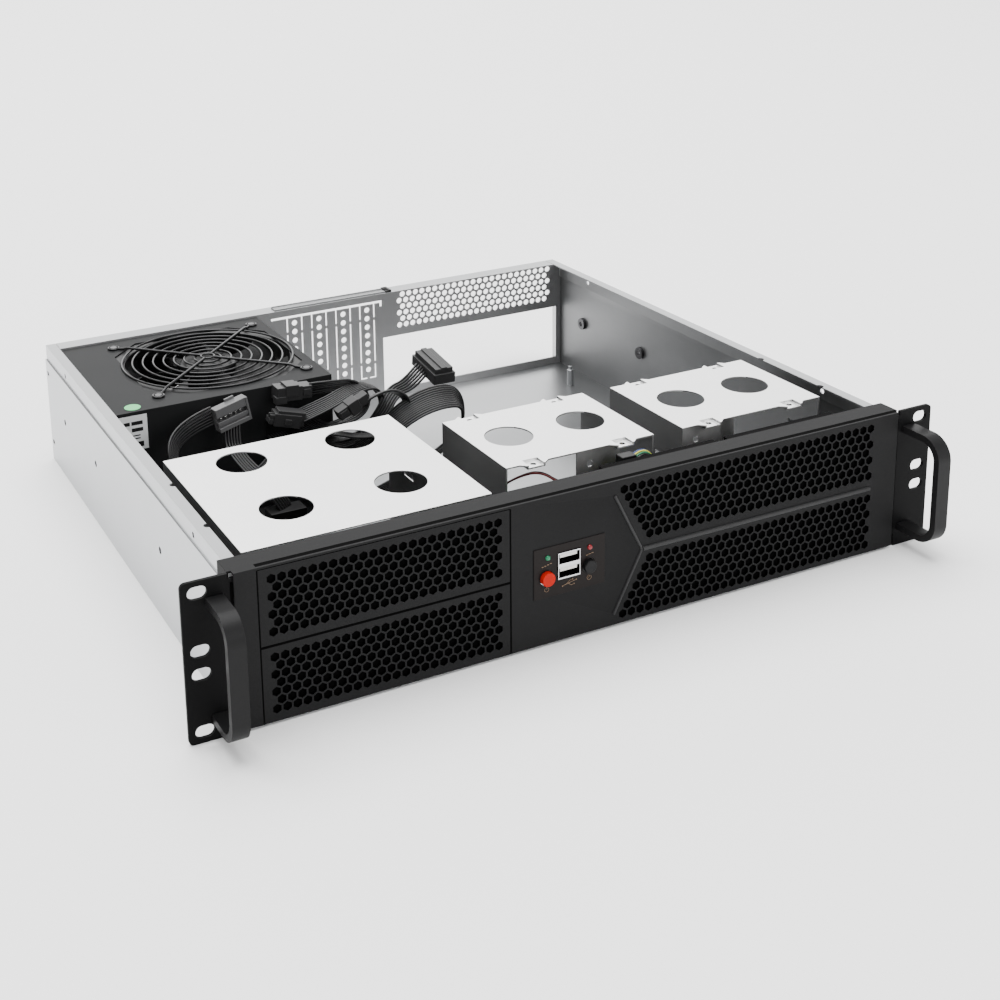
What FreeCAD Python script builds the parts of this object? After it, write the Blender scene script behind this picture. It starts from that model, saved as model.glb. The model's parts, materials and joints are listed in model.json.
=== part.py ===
import FreeCAD, Part
import math
import os

# Empty rackmount case, two units high, built open as it is seen without its lid.
# X runs along the front, Y runs from the front to the rear, Z is up, all in millimetres.
# The origin is on the floor, midway along the whole length, in the middle of the width.
# A depth is a distance behind the front face of the rack ears.

# Rack standard
rack_width = 482.6
rack_height = 88.9
slot_span = 465.1
slot_outer_rise = 76.2
slot_inner_rise = 12.7
slot_length = 10.3
slot_width = 7.0

# Overall body
case_depth = 388.0
handle_reach = 30.3
body_width = 428.0
body_height = 87.2
sheet = 1.0
joggle_height = 76.9
joggle_step = 1.0
side_flange = 7.0
tub_start = 2.3
rear_recess = 13.0
fit = 0.3
running = 0.05

# Holes in the side walls
rail_hole_depths = (124.5, 261.5, 341.0)
rail_hole_height = 44.8
rail_hole = 4.4
lid_hole_depths = (62.8, 333.5)
lid_hole_height = 81.3
lid_hole = 3.4
rear_slot_heights = (14.9, 67.5)
rear_slot_inset = 5.5
rear_slot_length = 5.0
rear_slot_width = 3.0
notch_depths = (58.5, 116.0)
notch = 2.4

front = -(case_depth - handle_reach) / 2
wall = body_width / 2
wall_in = wall - sheet
strip_out = wall - joggle_step
strip_in = strip_out - sheet
flange_in = strip_out - side_flange
slot_mid = rack_height / 2


def at(x, depth, z):
    return FreeCAD.Vector(x, front + depth, z)


def block(x0, x1, depth0, depth1, z0, z1):
    return Part.makeBox(x1 - x0, depth1 - depth0, z1 - z0, at(x0, depth0, z0))


def sided(side, inner, outer, depth0, depth1, z0, z1):
    if side > 0:
        return block(inner, outer, depth0, depth1, z0, z1)
    return block(-outer, -inner, depth0, depth1, z0, z1)


def rod_x(radius, x0, x1, depth, z):
    return Part.makeCylinder(radius, x1 - x0, at(x0, depth, z), FreeCAD.Vector(1, 0, 0))


def rod_y(radius, depth0, depth1, x, z):
    return Part.makeCylinder(radius, depth1 - depth0, at(x, depth0, z), FreeCAD.Vector(0, 1, 0))


def rod_z(radius, z0, z1, x, depth):
    return Part.makeCylinder(radius, z1 - z0, at(x, depth, z0), FreeCAD.Vector(0, 0, 1))


def slot_y(length, width, depth0, depth1, x, z):
    reach = (length - width) / 2
    middle = block(x - reach, x + reach, depth0, depth1, z - width / 2, z + width / 2)
    ends = [rod_y(width / 2, depth0, depth1, x + s * reach, z) for s in (-1, 1)]
    return middle.multiFuse(ends)


def slab_y(corners, depth0, depth1):
    points = [at(x, depth0, z) for x, z in corners]
    face = Part.Face(Part.makePolygon(points + points[:1]))
    return face.extrude(FreeCAD.Vector(0, depth1 - depth0, 0))


def slab_x(corners, x0, x1):
    points = [at(x0, depth, z) for depth, z in corners]
    face = Part.Face(Part.makePolygon(points + points[:1]))
    return face.extrude(FreeCAD.Vector(x1 - x0, 0, 0))


def slab_z(corners, z0, z1):
    points = [at(x, depth, z0) for x, depth in corners]
    face = Part.Face(Part.makePolygon(points + points[:1]))
    return face.extrude(FreeCAD.Vector(0, 0, z1 - z0))


def round_cut_y(radius, sides, depth0, depth1, x, z):
    turn = 2 * math.pi / sides
    corners = []
    for index in range(sides):
        angle = turn * (index + 0.5)
        corners.append((x + radius * math.cos(angle), z + radius * math.sin(angle)))
    return slab_y(corners, depth0, depth1)


def joined(shapes):
    return shapes[0].multiFuse(shapes[1:]).removeSplitter()


def pierced(shape, tools):
    return shape.cut(Part.makeCompound(tools))


def save(name, solids):
    shape = solids[0] if len(solids) == 1 else Part.makeCompound(solids)
    shape.exportStep("parts/" + name + ".step")


os.makedirs("parts", exist_ok=True)


# Tub: one zinc-coated sheet folded into the floor, two joggled walls and their inward top flanges.
def chassis_tub():
    plates = [block(-wall, wall, tub_start, case_depth, 0, sheet)]
    ledge_low = joggle_height - sheet
    for side in (-1, 1):
        plates.append(sided(side, wall_in, wall, tub_start, case_depth, 0, joggle_height))
        plates.append(sided(side, strip_in, wall, tub_start, case_depth, ledge_low, joggle_height))
        plates.append(sided(side, strip_in, strip_out, tub_start, case_depth, ledge_low, body_height))
        plates.append(sided(side, flange_in, strip_out, tub_start, case_depth,
                            body_height - sheet, body_height))
    holes = [rod_x(rail_hole / 2, -wall - 1, wall + 1, d, rail_hole_height) for d in rail_hole_depths]
    holes += [rod_x(lid_hole / 2, -wall - 1, wall + 1, d, lid_hole_height) for d in lid_hole_depths]
    slot_depth = case_depth - rear_slot_inset
    for height in rear_slot_heights:
        holes.append(block(-wall - 1, wall + 1, slot_depth - rear_slot_length / 2,
                           slot_depth + rear_slot_length / 2,
                           height - rear_slot_width / 2, height + rear_slot_width / 2))
    for side in (-1, 1):
        for depth in notch_depths:
            holes.append(rod_z(notch, body_height - sheet - 1, body_height + 1, side * flange_in, depth))
    return pierced(joined(plates), holes)


save("chassis_tub", [chassis_tub()])

# Press nuts behind the rail holes
nut_flange = 4.6
nut_reach = 2.6
nut_bore = 1.9
rail_nuts = []
for side in (-1, 1):
    start = wall_in - nut_reach if side > 0 else -wall_in
    for depth in rail_hole_depths:
        nut = rod_x(nut_flange, start, start + nut_reach, depth, rail_hole_height)
        rail_nuts.append(nut.cut(rod_x(nut_bore, start - 1, start + nut_reach + 1, depth, rail_hole_height)))
save("rail_nuts", rail_nuts)

# Power supply outer size and place, set against the left wall and the rear panel
supply_width = 150.0
supply_length = 139.5
supply_height = 84.9
supply_side_gap = 7.3
supply_sheet = 0.8
supply_left = -wall_in + supply_side_gap
supply_right = supply_left + supply_width
supply_rear = case_depth - rear_recess
supply_front = supply_rear - supply_length
supply_top = sheet + supply_height
supply_mid_x = (supply_left + supply_right) / 2
supply_screw_span = 138.0
supply_screw_rise = 64.0
supply_screw_low = 10.0
supply_screw = 3.5
supply_window_side = 4.0
supply_window_low = 5.5
supply_window_high = 4.5
supply_window_corner = 14.0

# Rear panel: ports, vent, slot covers and their cuts
panel_sheet = 1.0
port_left = 49.5
port_right = 208.2
port_low = 6.9
port_high = 50.9
vent_left = 64.3
vent_low = 59.1
vent_pitch = 5.77
vent_columns = 24
vent_rows = 6
vent_hole = 4.6
hole_sides = 10
cover_first = -24.9
cover_pitch = 20.32
cover_count = 4
cover_width = 12.0
cover_low = 19.3
cover_high = 82.0
cover_cut = 1.2
cover_hole = 4.5
cover_hole_first = 26.9
cover_hole_pitch = 7.0
cover_hole_count = 8
bridge = 2.2
bridge_heights = (32.0, 68.0)
top_cut_left = -44.0
top_cut_right = 49.0
top_cut_drop = 5.0
top_cut = 1.9
keeper_slit_left = -40.0
keeper_slit_right = 54.0
keeper_slit = 1.2
keeper_slit_inset = 3.4
panel_flange = 11.0


def cover_centres():
    return [cover_first + index * cover_pitch for index in range(cover_count)]


def rear_panel():
    d0 = case_depth - rear_recess
    d1 = d0 + panel_sheet
    inside = wall_in - fit
    upper = strip_in - fit
    under = body_height - sheet - fit
    top = flange_in - fit
    plates = [block(-inside, inside, d0, d1, sheet, joggle_height - sheet - fit)]
    plates.append(block(-upper, upper, d0, d1, sheet, under))
    plates.append(block(-top, top, d0, d1, sheet, body_height))
    plates.append(block(-top, top, d0, case_depth, body_height - panel_sheet, body_height))
    plates.append(block(-inside, inside, d0, d0 + panel_flange, sheet, sheet + panel_sheet))
    for side in (-1, 1):
        plates.append(sided(side, inside - panel_sheet, inside, d0, d0 + panel_flange,
                            sheet, joggle_height - sheet - fit))
    cuts = [block(port_left, port_right, d0 - 1, d1 + 1, port_low, port_high)]
    low = sheet + supply_window_low
    high = supply_top - supply_window_high
    left = supply_left + supply_window_side
    right = supply_right - supply_window_side
    corner = supply_window_corner
    cuts.append(slab_y([(left + corner, low), (right - corner, low), (right, low + corner),
                        (right, high - corner), (right - corner, high), (left + corner, high),
                        (left, high - corner), (left, low + corner)], d0 - 1, d1 + 1))
    for x, z in supply_screw_places():
        cuts.append(rod_y(supply_screw / 2 + fit, d0 - 1, d1 + 1, x, z))
    for row in range(vent_rows):
        shift = vent_pitch / 2 if row % 2 else 0.0
        z = vent_low + row * vent_pitch * math.sqrt(3) / 2
        for column in range(vent_columns):
            x = vent_left + shift + column * vent_pitch
            cuts.append(round_cut_y(vent_hole / 2, hole_sides, d0 - 1, d1 + 1, x, z))
    for centre in cover_centres():
        for side in (-1, 1):
            edge = centre + side * cover_width / 2
            marks = [cover_low, *bridge_heights, cover_high]
            for index in range(len(marks) - 1):
                z0 = marks[index] + (bridge / 2 if index else 0.0)
                last = index == len(marks) - 2
                z1 = marks[index + 1] - (0.0 if last else bridge / 2)
                cuts.append(block(edge - cover_cut / 2, edge + cover_cut / 2, d0 - 1, d1 + 1, z0, z1))
            inner = centre + side * bridge / 2
            cuts.append(block(min(inner, edge), max(inner, edge), d0 - 1, d1 + 1,
                              cover_low, cover_low + cover_cut))
        for index in range(cover_hole_count):
            z = cover_hole_first + index * cover_hole_pitch
            cuts.append(round_cut_y(cover_hole / 2, hole_sides, d0 - 1, d1 + 1, centre, z))
    cuts.append(block(top_cut_left, top_cut_right, d0 - 1, d1 + 1, cover_high - top_cut, cover_high))
    cuts.append(block(top_cut_right - top_cut, top_cut_right, d0 - 1, d1 + 1,
                      cover_high - top_cut_drop, cover_high))
    slit = case_depth - keeper_slit_inset
    cuts.append(block(keeper_slit_left, keeper_slit_right, slit, slit + keeper_slit,
                      body_height - panel_sheet - 1, body_height + 1))
    return pierced(joined(plates), cuts)


def supply_screw_places():
    places = []
    for side in (-1, 1):
        for rise in (0, supply_screw_rise):
            places.append((supply_mid_x + side * supply_screw_span / 2, sheet + supply_screw_low + rise))
    return places


save("rear_panel", [rear_panel()])

# Card retaining bar that lies on the rear flange, with the black clamp at its end
keeper_left = -40.0
keeper_right = 53.0
keeper_front = 377.0
keeper_width = 7.0
keeper_sheet = 0.8
keeper_lip = 0.8
clamp_length = 5.0
clamp_front = 376.0
clamp_width = 10.0
keeper_base = block(keeper_left, keeper_right, keeper_front, keeper_front + keeper_width,
                    body_height, body_height + keeper_sheet)
keeper_edge = block(keeper_left, keeper_right, keeper_front + keeper_width - keeper_sheet,
                    keeper_front + keeper_width, body_height, body_height + keeper_sheet + keeper_lip)
save("card_retainer", [joined([keeper_base, keeper_edge])])
clamp_start = keeper_right + fit
clamp_low = block(clamp_start, clamp_start + clamp_length, clamp_front, clamp_front + clamp_width,
                  body_height, rack_height)
clamp_step = block(clamp_start, clamp_start + clamp_length / 2, clamp_front, clamp_front + clamp_width / 2,
                   rack_height - keeper_lip, rack_height)
save("retainer_clamp", [clamp_low.cut(clamp_step)])

# Front frame: black steel face, mesh fields, pressed ribs, top and bottom flanges
face_sheet = 1.2
face_front = -1.5
face_back = face_front + face_sheet
frame_half = 216.3
face_half = 213.9
frame_low = 1.4
top_band = 16.0
bottom_band = 14.0
side_lip_low = 75.0
lip_start = 2.3
bay_left = -201.6
bay_right = -56.8
bay_return = 8.0
frame_inner = 210.4
mesh_rows = 7
row_share = math.sqrt(3) / 2
mesh_slope = 1 / math.sqrt(3)
face_pitch = 5.885
face_hole = 4.7
bay_pitch = 5.65
bay_hole = 4.5
mesh_right = 192.6
upper_mesh_low = 52.3
lower_mesh_low = 6.9
mesh_tip = 33.7
mesh_foot = mesh_tip - (mesh_rows - 1) * face_pitch / 2
rib_width = 1.8
rib_rise = 0.5
rib_tip = 28.0
rib_foot = 9.6
rib_high = 80.5
rib_mid = 44.2
rib_low = 8.4
rib_right = 194.0
ridge_width = 3.0

# Control window and the parts that show in it
plate_left = -42.4
plate_right = 3.2
plate_low = 30.0
plate_high = 59.8
plate_sheet = 0.5
window_margin = 3.0
power_x = -34.2
power_z = 41.6
power_cap = 8.2
reset_x = -7.2
reset_z = 42.8
reset_cap = 7.7
port_stack_x = -20.2
port_stack_z = 47.0
port_stack_width = 14.4
port_stack_height = 15.8
lamp_gap = 13.5
lamp_z = 53.7
lamp_size = 3.0
power_lamp_x = port_stack_x - lamp_gap
drive_lamp_x = port_stack_x + lamp_gap


def hex_field(left, right, low, pitch, across, lean):
    holes = []
    for row in range(mesh_rows):
        z = low + row * pitch * row_share
        last = right - (pitch / 2 if row % 2 else 0.0)
        count = int((last - left - lean * (z - low)) / pitch + 0.1)
        for column in range(count + 1):
            holes.append(round_cut_y(across / math.sqrt(3), 6, face_front - 1, face_back + 1,
                                     last - column * pitch, z))
    return holes


def rib(points, width, rise):
    shapes = []
    for (x0, z0), (x1, z1) in zip(points, points[1:]):
        length = math.hypot(x1 - x0, z1 - z0)
        nx = -(z1 - z0) / length
        nz = (x1 - x0) / length
        half = width / 2
        crest = width / 6
        low = [(x0 + nx * half, z0 + nz * half), (x1 + nx * half, z1 + nz * half),
               (x1 - nx * half, z1 - nz * half), (x0 - nx * half, z0 - nz * half)]
        high = [(x0 + nx * crest, z0 + nz * crest), (x1 + nx * crest, z1 + nz * crest),
                (x1 - nx * crest, z1 - nz * crest), (x0 - nx * crest, z0 - nz * crest)]
        wires = []
        for corners, depth in ((low, face_front), (high, face_front - rise)):
            line = [at(x, depth, z) for x, z in corners]
            wires.append(Part.makePolygon(line + line[:1]))
        shapes.append(Part.makeLoft(wires, True))
    return shapes


def front_frame():
    high = rack_height
    plates = [block(-face_half, bay_left, face_front, face_back, frame_low, high)]
    plates.append(block(bay_right, face_half, face_front, face_back, frame_low, high))
    plates.append(block(-face_half, face_half, face_front, top_band, high - face_sheet, high))
    plates.append(block(-frame_half, frame_half, lip_start, top_band, high - face_sheet, high))
    plates.append(block(-frame_inner, frame_inner, face_back + fit, bottom_band, frame_low,
                        frame_low + face_sheet))
    plates.append(block(-frame_inner, bay_left, face_front, bottom_band, frame_low, frame_low + face_sheet))
    plates.append(block(bay_right, frame_inner, face_front, bottom_band, frame_low, frame_low + face_sheet))
    plates.append(block(bay_left - face_sheet, bay_left, face_front, bay_return, frame_low, high))
    plates.append(block(bay_right, bay_right + face_sheet, face_front, bay_return, frame_low, high))
    for side in (-1, 1):
        plates.append(sided(side, frame_half - face_sheet, frame_half, lip_start, top_band,
                            side_lip_low, high))
    plates += rib([(rib_foot, rib_high), (rib_tip, rib_mid), (rib_foot, rib_low)], rib_width, rib_rise)
    plates += rib([(rib_tip, rib_mid), (rib_right, rib_mid)], ridge_width, rib_rise)
    d0 = face_front - 1
    d1 = face_back + 1
    cuts = hex_field(mesh_tip, mesh_right, upper_mesh_low, face_pitch, face_hole, -mesh_slope)
    cuts += hex_field(mesh_foot, mesh_right, lower_mesh_low, face_pitch, face_hole, mesh_slope)
    cuts.append(block(plate_left + window_margin, plate_right - window_margin, d0, d1,
                      plate_low + window_margin, plate_high - window_margin))
    return pierced(joined(plates), cuts)


save("front_frame", [front_frame()])

# Bay covers: two black steel trays whose faces are hexagonal mesh
cover_gap = 1.0
bay_cover_left = bay_left + fit
bay_cover_right = bay_right - fit
bay_cover_top = rack_height - face_sheet - fit
bay_cover_rise = (bay_cover_top - frame_low - cover_gap) / 2
bay_mesh_margin = 7.1
bay_mesh_low = 7.1
bay_rim = 12.0
bay_rim_inset = 2.0


def bay_cover(low):
    high = low + bay_cover_rise
    left = bay_cover_left
    right = bay_cover_right
    face = block(left, right, face_front, face_back, low, high)
    inset = bay_rim_inset
    outer = block(left + inset, right - inset, face_front, bay_rim, low + inset, high - inset)
    inner = block(left + inset + face_sheet, right - inset - face_sheet, face_back, bay_rim + 1,
                  low + inset + face_sheet, high - inset - face_sheet)
    tray = joined([face, outer]).cut(inner)
    holes = hex_field(left + bay_mesh_margin, right - bay_mesh_margin, low + bay_mesh_low, bay_pitch,
                      bay_hole, 0.0)
    return pierced(tray, holes)


save("bay_cover_lower", [bay_cover(frame_low)])
save("bay_cover_upper", [bay_cover(frame_low + bay_cover_rise + cover_gap)])

# Air filters: black foam pads, one in each bay cover and one between the right mesh and the fan plate
filter_thick = 4.0
fan_front = 6.0
fan_low = 2.9
fan_plate_sheet = 1.2
fan_plate_left = 12.0
fan_plate_right = 198.0
fan_plate_high = 85.0
filter_edge = bay_rim_inset + face_sheet + fit
mesh_filters = [block(bay_cover_left + filter_edge, bay_cover_right - filter_edge,
                      face_back + fit, face_back + fit + filter_thick,
                      low + filter_edge, low + bay_cover_rise - filter_edge)
                for low in (frame_low, frame_low + bay_cover_rise + cover_gap)]
mesh_filters.append(block(fan_plate_left + fan_plate_sheet + fit, fan_plate_right - fan_plate_sheet - fit,
                          face_back + fit, fan_front - fan_plate_sheet - fit,
                          fan_low + fit, fan_plate_high - fit))
save("mesh_filters", mesh_filters)

# Rack ears: black 2 mm steel, folded back inside the wall
ear_sheet = 2.0
ear_corner = 3.0
ear_tab_low = 8.0
ear_tab_high = 86.0
ear_fold_high = 74.0
ear_fold = 35.0
ear_inner = wall_in - fit - ear_sheet
handle_x = 223.7
handle_width = 9.6
handle_bar = 4.2
handle_low = 10.3
handle_high = 78.9
handle_corner = 14.0
handle_screw = 1.3
handle_screw_depth = 9.0
handle_screw_head = 2.6
handle_screw_rise = 1.8


def rack_ear(side):
    outer = sided(side, frame_half + fit, rack_width / 2, 0, ear_sheet, 0, rack_height)
    edges = [e for e in outer.Edges if is_corner(e, rack_width / 2)]
    outer = outer.makeFillet(ear_corner, edges)
    tab = sided(side, ear_inner, frame_half + fit, 0, ear_sheet, ear_tab_low, ear_tab_high)
    fold = sided(side, ear_inner, ear_inner + ear_sheet, 0, ear_fold, ear_tab_low, ear_fold_high)
    cuts = []
    for rise in (slot_outer_rise / 2, slot_inner_rise / 2):
        for sign in (-1, 1):
            cuts.append(slot_y(slot_length, slot_width, -1, ear_sheet + 1,
                               side * slot_span / 2, slot_mid + sign * rise))
    for x, z in handle_screw_places(side):
        cuts.append(rod_y(handle_screw + running, -1, ear_sheet + 1, x, z))
    return pierced(joined([outer, tab, fold]), cuts)


def is_corner(edge, half):
    along_y = abs(edge.Vertexes[0].Y - edge.Vertexes[-1].Y) > ear_sheet / 2
    return along_y and abs(abs(edge.Vertexes[0].X) - half) < fit


def handle_screw_places(side):
    return [(side * handle_x, handle_low + handle_bar / 2), (side * handle_x, handle_high - handle_bar / 2)]


def bow(low, high, reach, corner, x0, x1):
    k = corner * (1 - math.cos(math.radians(45)))
    p = [at(x0, 0, low), at(x0, -reach + corner, low), at(x0, -reach + k, low + k),
         at(x0, -reach, low + corner), at(x0, -reach, high - corner), at(x0, -reach + k, high - k),
         at(x0, -reach + corner, high), at(x0, 0, high)]
    edges = [Part.LineSegment(p[0], p[1]).toShape(), Part.Arc(p[1], p[2], p[3]).toShape(),
             Part.LineSegment(p[3], p[4]).toShape(), Part.Arc(p[4], p[5], p[6]).toShape(),
             Part.LineSegment(p[6], p[7]).toShape(), Part.LineSegment(p[7], p[0]).toShape()]
    return Part.Face(Part.Wire(edges)).extrude(FreeCAD.Vector(x1 - x0, 0, 0))


def handle(side):
    x0 = side * handle_x - handle_width / 2
    x1 = x0 + handle_width
    outer = bow(handle_low, handle_high, handle_reach, handle_corner, x0, x1)
    inner = bow(handle_low + handle_bar, handle_high - handle_bar, handle_reach - handle_bar,
                handle_corner - handle_bar, x0 - 1, x1 + 1)
    holes = [rod_y(handle_screw + running, -handle_screw_depth - 1, 1, x, z)
             for x, z in handle_screw_places(side)]
    return pierced(outer.cut(inner), holes)


handle_screws = []
for side, name in ((-1, "left"), (1, "right")):
    save("rack_ear_" + name, [rack_ear(side)])
    save("handle_" + name, [handle(side)])
    for x, z in handle_screw_places(side):
        shank = rod_y(handle_screw, -handle_screw_depth, ear_sheet, x, z)
        head = rod_y(handle_screw_head, ear_sheet, ear_sheet + handle_screw_rise, x, z)
        handle_screws.append(joined([shank, head]))

# Control plate and what sits in it: lamps, buttons, the twin port stack and their board
board_front = 12.0
board_sheet = 1.6
board_margin = 1.0
spacer_radius = 2.2
stack_front = -2.7
stack_wall = 0.5
stack_port_width = 13.2
stack_port_height = 5.6
stack_port_step = 8.2
stack_port_depth = 11.0
tongue_width = 11.1
tongue_sheet = 1.9
cap_front = -4.6
cap_back = 1.2
stem_radius = 1.6
stem_end = 6.6
switch_front = 8.4
switch_size = 6.0
plate_face = face_front - plate_sheet
cap_window = 0.35


def control_plate():
    plate = block(plate_left, plate_right, plate_face, face_front, plate_low, plate_high)
    stack_half_x = port_stack_width / 2 + running
    stack_half_z = port_stack_height / 2 + running
    cuts = [rod_y(power_cap / 2 + cap_window, plate_face - 1, face_front + 1, power_x, power_z),
            rod_y(reset_cap / 2 + cap_window, plate_face - 1, face_front + 1, reset_x, reset_z),
            rod_y(lamp_size / 2 + running, plate_face - 1, face_front + 1, power_lamp_x, lamp_z),
            rod_y(lamp_size / 2 + running, plate_face - 1, face_front + 1, drive_lamp_x, lamp_z),
            block(port_stack_x - stack_half_x, port_stack_x + stack_half_x, plate_face - 1, face_front + 1,
                  port_stack_z - stack_half_z, port_stack_z + stack_half_z)]
    return pierced(plate, cuts)


def port_stack():
    left = port_stack_x - port_stack_width / 2
    low = port_stack_z - port_stack_height / 2
    shell = block(left, left + port_stack_width, stack_front, board_front, low, low + port_stack_height)
    ports = []
    for side in (-1, 1):
        z = port_stack_z + side * stack_port_step / 2
        ports.append(block(port_stack_x - stack_port_width / 2, port_stack_x + stack_port_width / 2,
                           stack_front - 1, stack_front + stack_port_depth,
                           z - stack_port_height / 2, z + stack_port_height / 2))
    return pierced(shell, ports)


def port_tongues():
    tongues = []
    for side in (-1, 1):
        z = port_stack_z + side * stack_port_step / 2
        low = z + stack_port_height / 2 - stack_wall - tongue_sheet
        tongues.append(block(port_stack_x - tongue_width / 2, port_stack_x + tongue_width / 2,
                             stack_front + 1, stack_front + stack_port_depth, low, low + tongue_sheet))
    return tongues


def button(x, z, cap):
    body = rod_y(cap / 2, cap_front, cap_back, x, z)
    return joined([body, rod_y(stem_radius, cap_back - 1, stem_end, x, z)])


def lamp(x, z):
    body = rod_y(lamp_size / 2, plate_face, board_front, x, z)
    dome = Part.makeSphere(lamp_size / 2, at(x, plate_face, z))
    return joined([body, dome])


board_left = plate_left + board_margin
board_right = plate_right - board_margin
board_low = plate_low + board_margin
board_high = plate_high - board_margin
save("control_plate", [control_plate()])
save("port_stack", [port_stack()])
save("port_tongues", port_tongues())
save("power_button", [button(power_x, power_z, power_cap)])
save("reset_button", [button(reset_x, reset_z, reset_cap)])
save("front_lamps", [lamp(power_lamp_x, lamp_z), lamp(drive_lamp_x, lamp_z)])
board = block(board_left, board_right, board_front, board_front + board_sheet, board_low, board_high)
switches = [block(x - switch_size / 2, x + switch_size / 2, switch_front, board_front,
                  z - switch_size / 2, z + switch_size / 2)
            for x, z in ((power_x, power_z), (reset_x, reset_z))]
spacers = []
for x in (board_left + spacer_radius, board_right - spacer_radius):
    spacers.append(rod_y(spacer_radius, face_back, board_front, x, board_low + spacer_radius))
    spacers.append(rod_y(spacer_radius, face_back, board_front, x, board_high - spacer_radius))
save("control_board", [joined([board, *switches, *spacers])])

# Drive cage for the wide bays: one folded sheet with four round holes in its top
cage_left = -200.5
cage_right = -53.2
cage_front = 24.0
cage_rear = 153.5
shelf_top = 85.6
cage_hole = 30.0
cage_hole_xs = (-159.8, -90.3)
cage_hole_depths = (61.8, 130.5)
foot = 9.0
drive_slot_length = 12.0
drive_slot_width = 3.6
cage_slot_heights = (14.0, 56.0)
cage_slot_inset = 28.0


def folded_shelf(left, right, d0, d1, outline):
    top = slab_z(outline, shelf_top - sheet, shelf_top)
    plates = [top]
    for edge, inward in ((left, 1), (right, -1)):
        x0 = edge if inward > 0 else edge - sheet
        plates.append(block(x0, x0 + sheet, d0, d1, sheet, shelf_top))
        f0 = edge if inward > 0 else edge - foot
        plates.append(block(f0, f0 + foot, d0, d1, sheet, sheet * 2))
    return plates


def side_slots(left, right, depths, heights):
    cuts = []
    for depth in depths:
        for z in heights:
            cuts.append(block(left - 1, right + 1,
                              depth - drive_slot_length / 2, depth + drive_slot_length / 2,
                              z - drive_slot_width / 2, z + drive_slot_width / 2))
    return cuts


def drive_cage():
    outline = [(cage_left, cage_front), (cage_right, cage_front), (cage_right, cage_rear),
               (cage_left, cage_rear)]
    plates = folded_shelf(cage_left, cage_right, cage_front, cage_rear, outline)
    cuts = side_slots(cage_left, cage_right, (cage_front + cage_slot_inset, cage_rear - cage_slot_inset),
                      cage_slot_heights)
    for x in cage_hole_xs:
        for depth in cage_hole_depths:
            cuts.append(rod_z(cage_hole / 2, shelf_top - sheet - 1, shelf_top + 1, x, depth))
    return pierced(joined(plates), cuts)


save("drive_cage", [drive_cage()])

# Brackets for the small drives: folded shelves with two finger holes, pressed screw ears and a front leg
bracket_hole = 29.5
ear_hole = 1.75
bulge = 6.0
bulge_foot = 9.6
bulge_reach = 3.0
pad_half = 5.0
pad_length = 8.0
pad_drop = 1.5
bracket_slot_inset = 24.0
bracket_slot_heights = (20.0, 60.0)
leg_hole = 2.0
leg_hole_drop = 9.0


def bracket(left, right, d0, d1, holes, ear_xs, ear_depths, leg_left, leg_right):
    front_edge = d0 + bulge_reach
    rear_edge = d1 - bulge_reach
    outline = [(left, front_edge), (left, rear_edge)]
    for x in ear_xs:
        outline += [(x - bulge_foot, rear_edge), (x - bulge, d1),
                    (x + bulge, d1), (x + bulge_foot, rear_edge)]
    outline += [(right, rear_edge), (right, front_edge)]
    for x in reversed(ear_xs):
        outline += [(x + bulge_foot, front_edge), (x + bulge, d0),
                    (x - bulge, d0), (x - bulge_foot, front_edge)]
    plates = folded_shelf(left, right, front_edge, rear_edge, outline)
    plates.append(block(leg_left, leg_right, front_edge, front_edge + sheet, sheet, shelf_top))
    cuts = side_slots(left, right, (d0 + bracket_slot_inset, d1 - bracket_slot_inset), bracket_slot_heights)
    pad_high = shelf_top - pad_drop
    for x in ear_xs:
        for start, end, near in ((d0, d0 + pad_length, -1), (d1 - pad_length, d1, 1)):
            inner_start = start - 1 if near < 0 else start
            inner_end = end if near < 0 else end + 1
            outer_start = start if near < 0 else start - sheet
            outer_end = end + sheet if near < 0 else end
            plates.append(block(x - pad_half - sheet, x + pad_half + sheet, outer_start, outer_end,
                                pad_high - sheet, shelf_top))
            cuts.append(block(x - pad_half, x + pad_half, inner_start, inner_end, pad_high, shelf_top + 1))
        cuts += [rod_z(ear_hole, pad_high - sheet - 1, pad_high + 1, x, depth) for depth in ear_depths]
    cuts += [rod_z(bracket_hole / 2, shelf_top - sheet - 1, shelf_top + 1, x, depth) for x, depth in holes]
    cuts.append(rod_y(leg_hole, front_edge - 1, front_edge + sheet + 1, leg_left + leg_hole_drop,
                      shelf_top - leg_hole_drop))
    return pierced(joined(plates), cuts)


middle_left = -30.0
middle_right = 71.5
middle_front = 45.6
middle_rear = 129.0
middle_holes = [(-5.0, 88.1), (45.4, 88.2)]
middle_ear_xs = (-11.5, 49.6)
middle_ear_depths = (49.4, 124.3)
middle_leg_left = 17.5
middle_leg_right = 47.5
right_left = 92.0
right_right = 196.8
right_front = 45.0
right_rear = 128.0
right_holes = [(119.9, 87.7), (169.7, 87.4)]
right_ear_xs = (112.6, 174.2)
right_ear_depths = (49.8, 123.3)
right_leg_right = 130.4
save("bracket_middle", [bracket(middle_left, middle_right, middle_front, middle_rear, middle_holes,
                                middle_ear_xs, middle_ear_depths, middle_leg_left, middle_leg_right)])
save("bracket_right", [bracket(right_left, right_right, right_front, right_rear, right_holes,
                               right_ear_xs, right_ear_depths, right_left + sheet, right_leg_right)])

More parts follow.
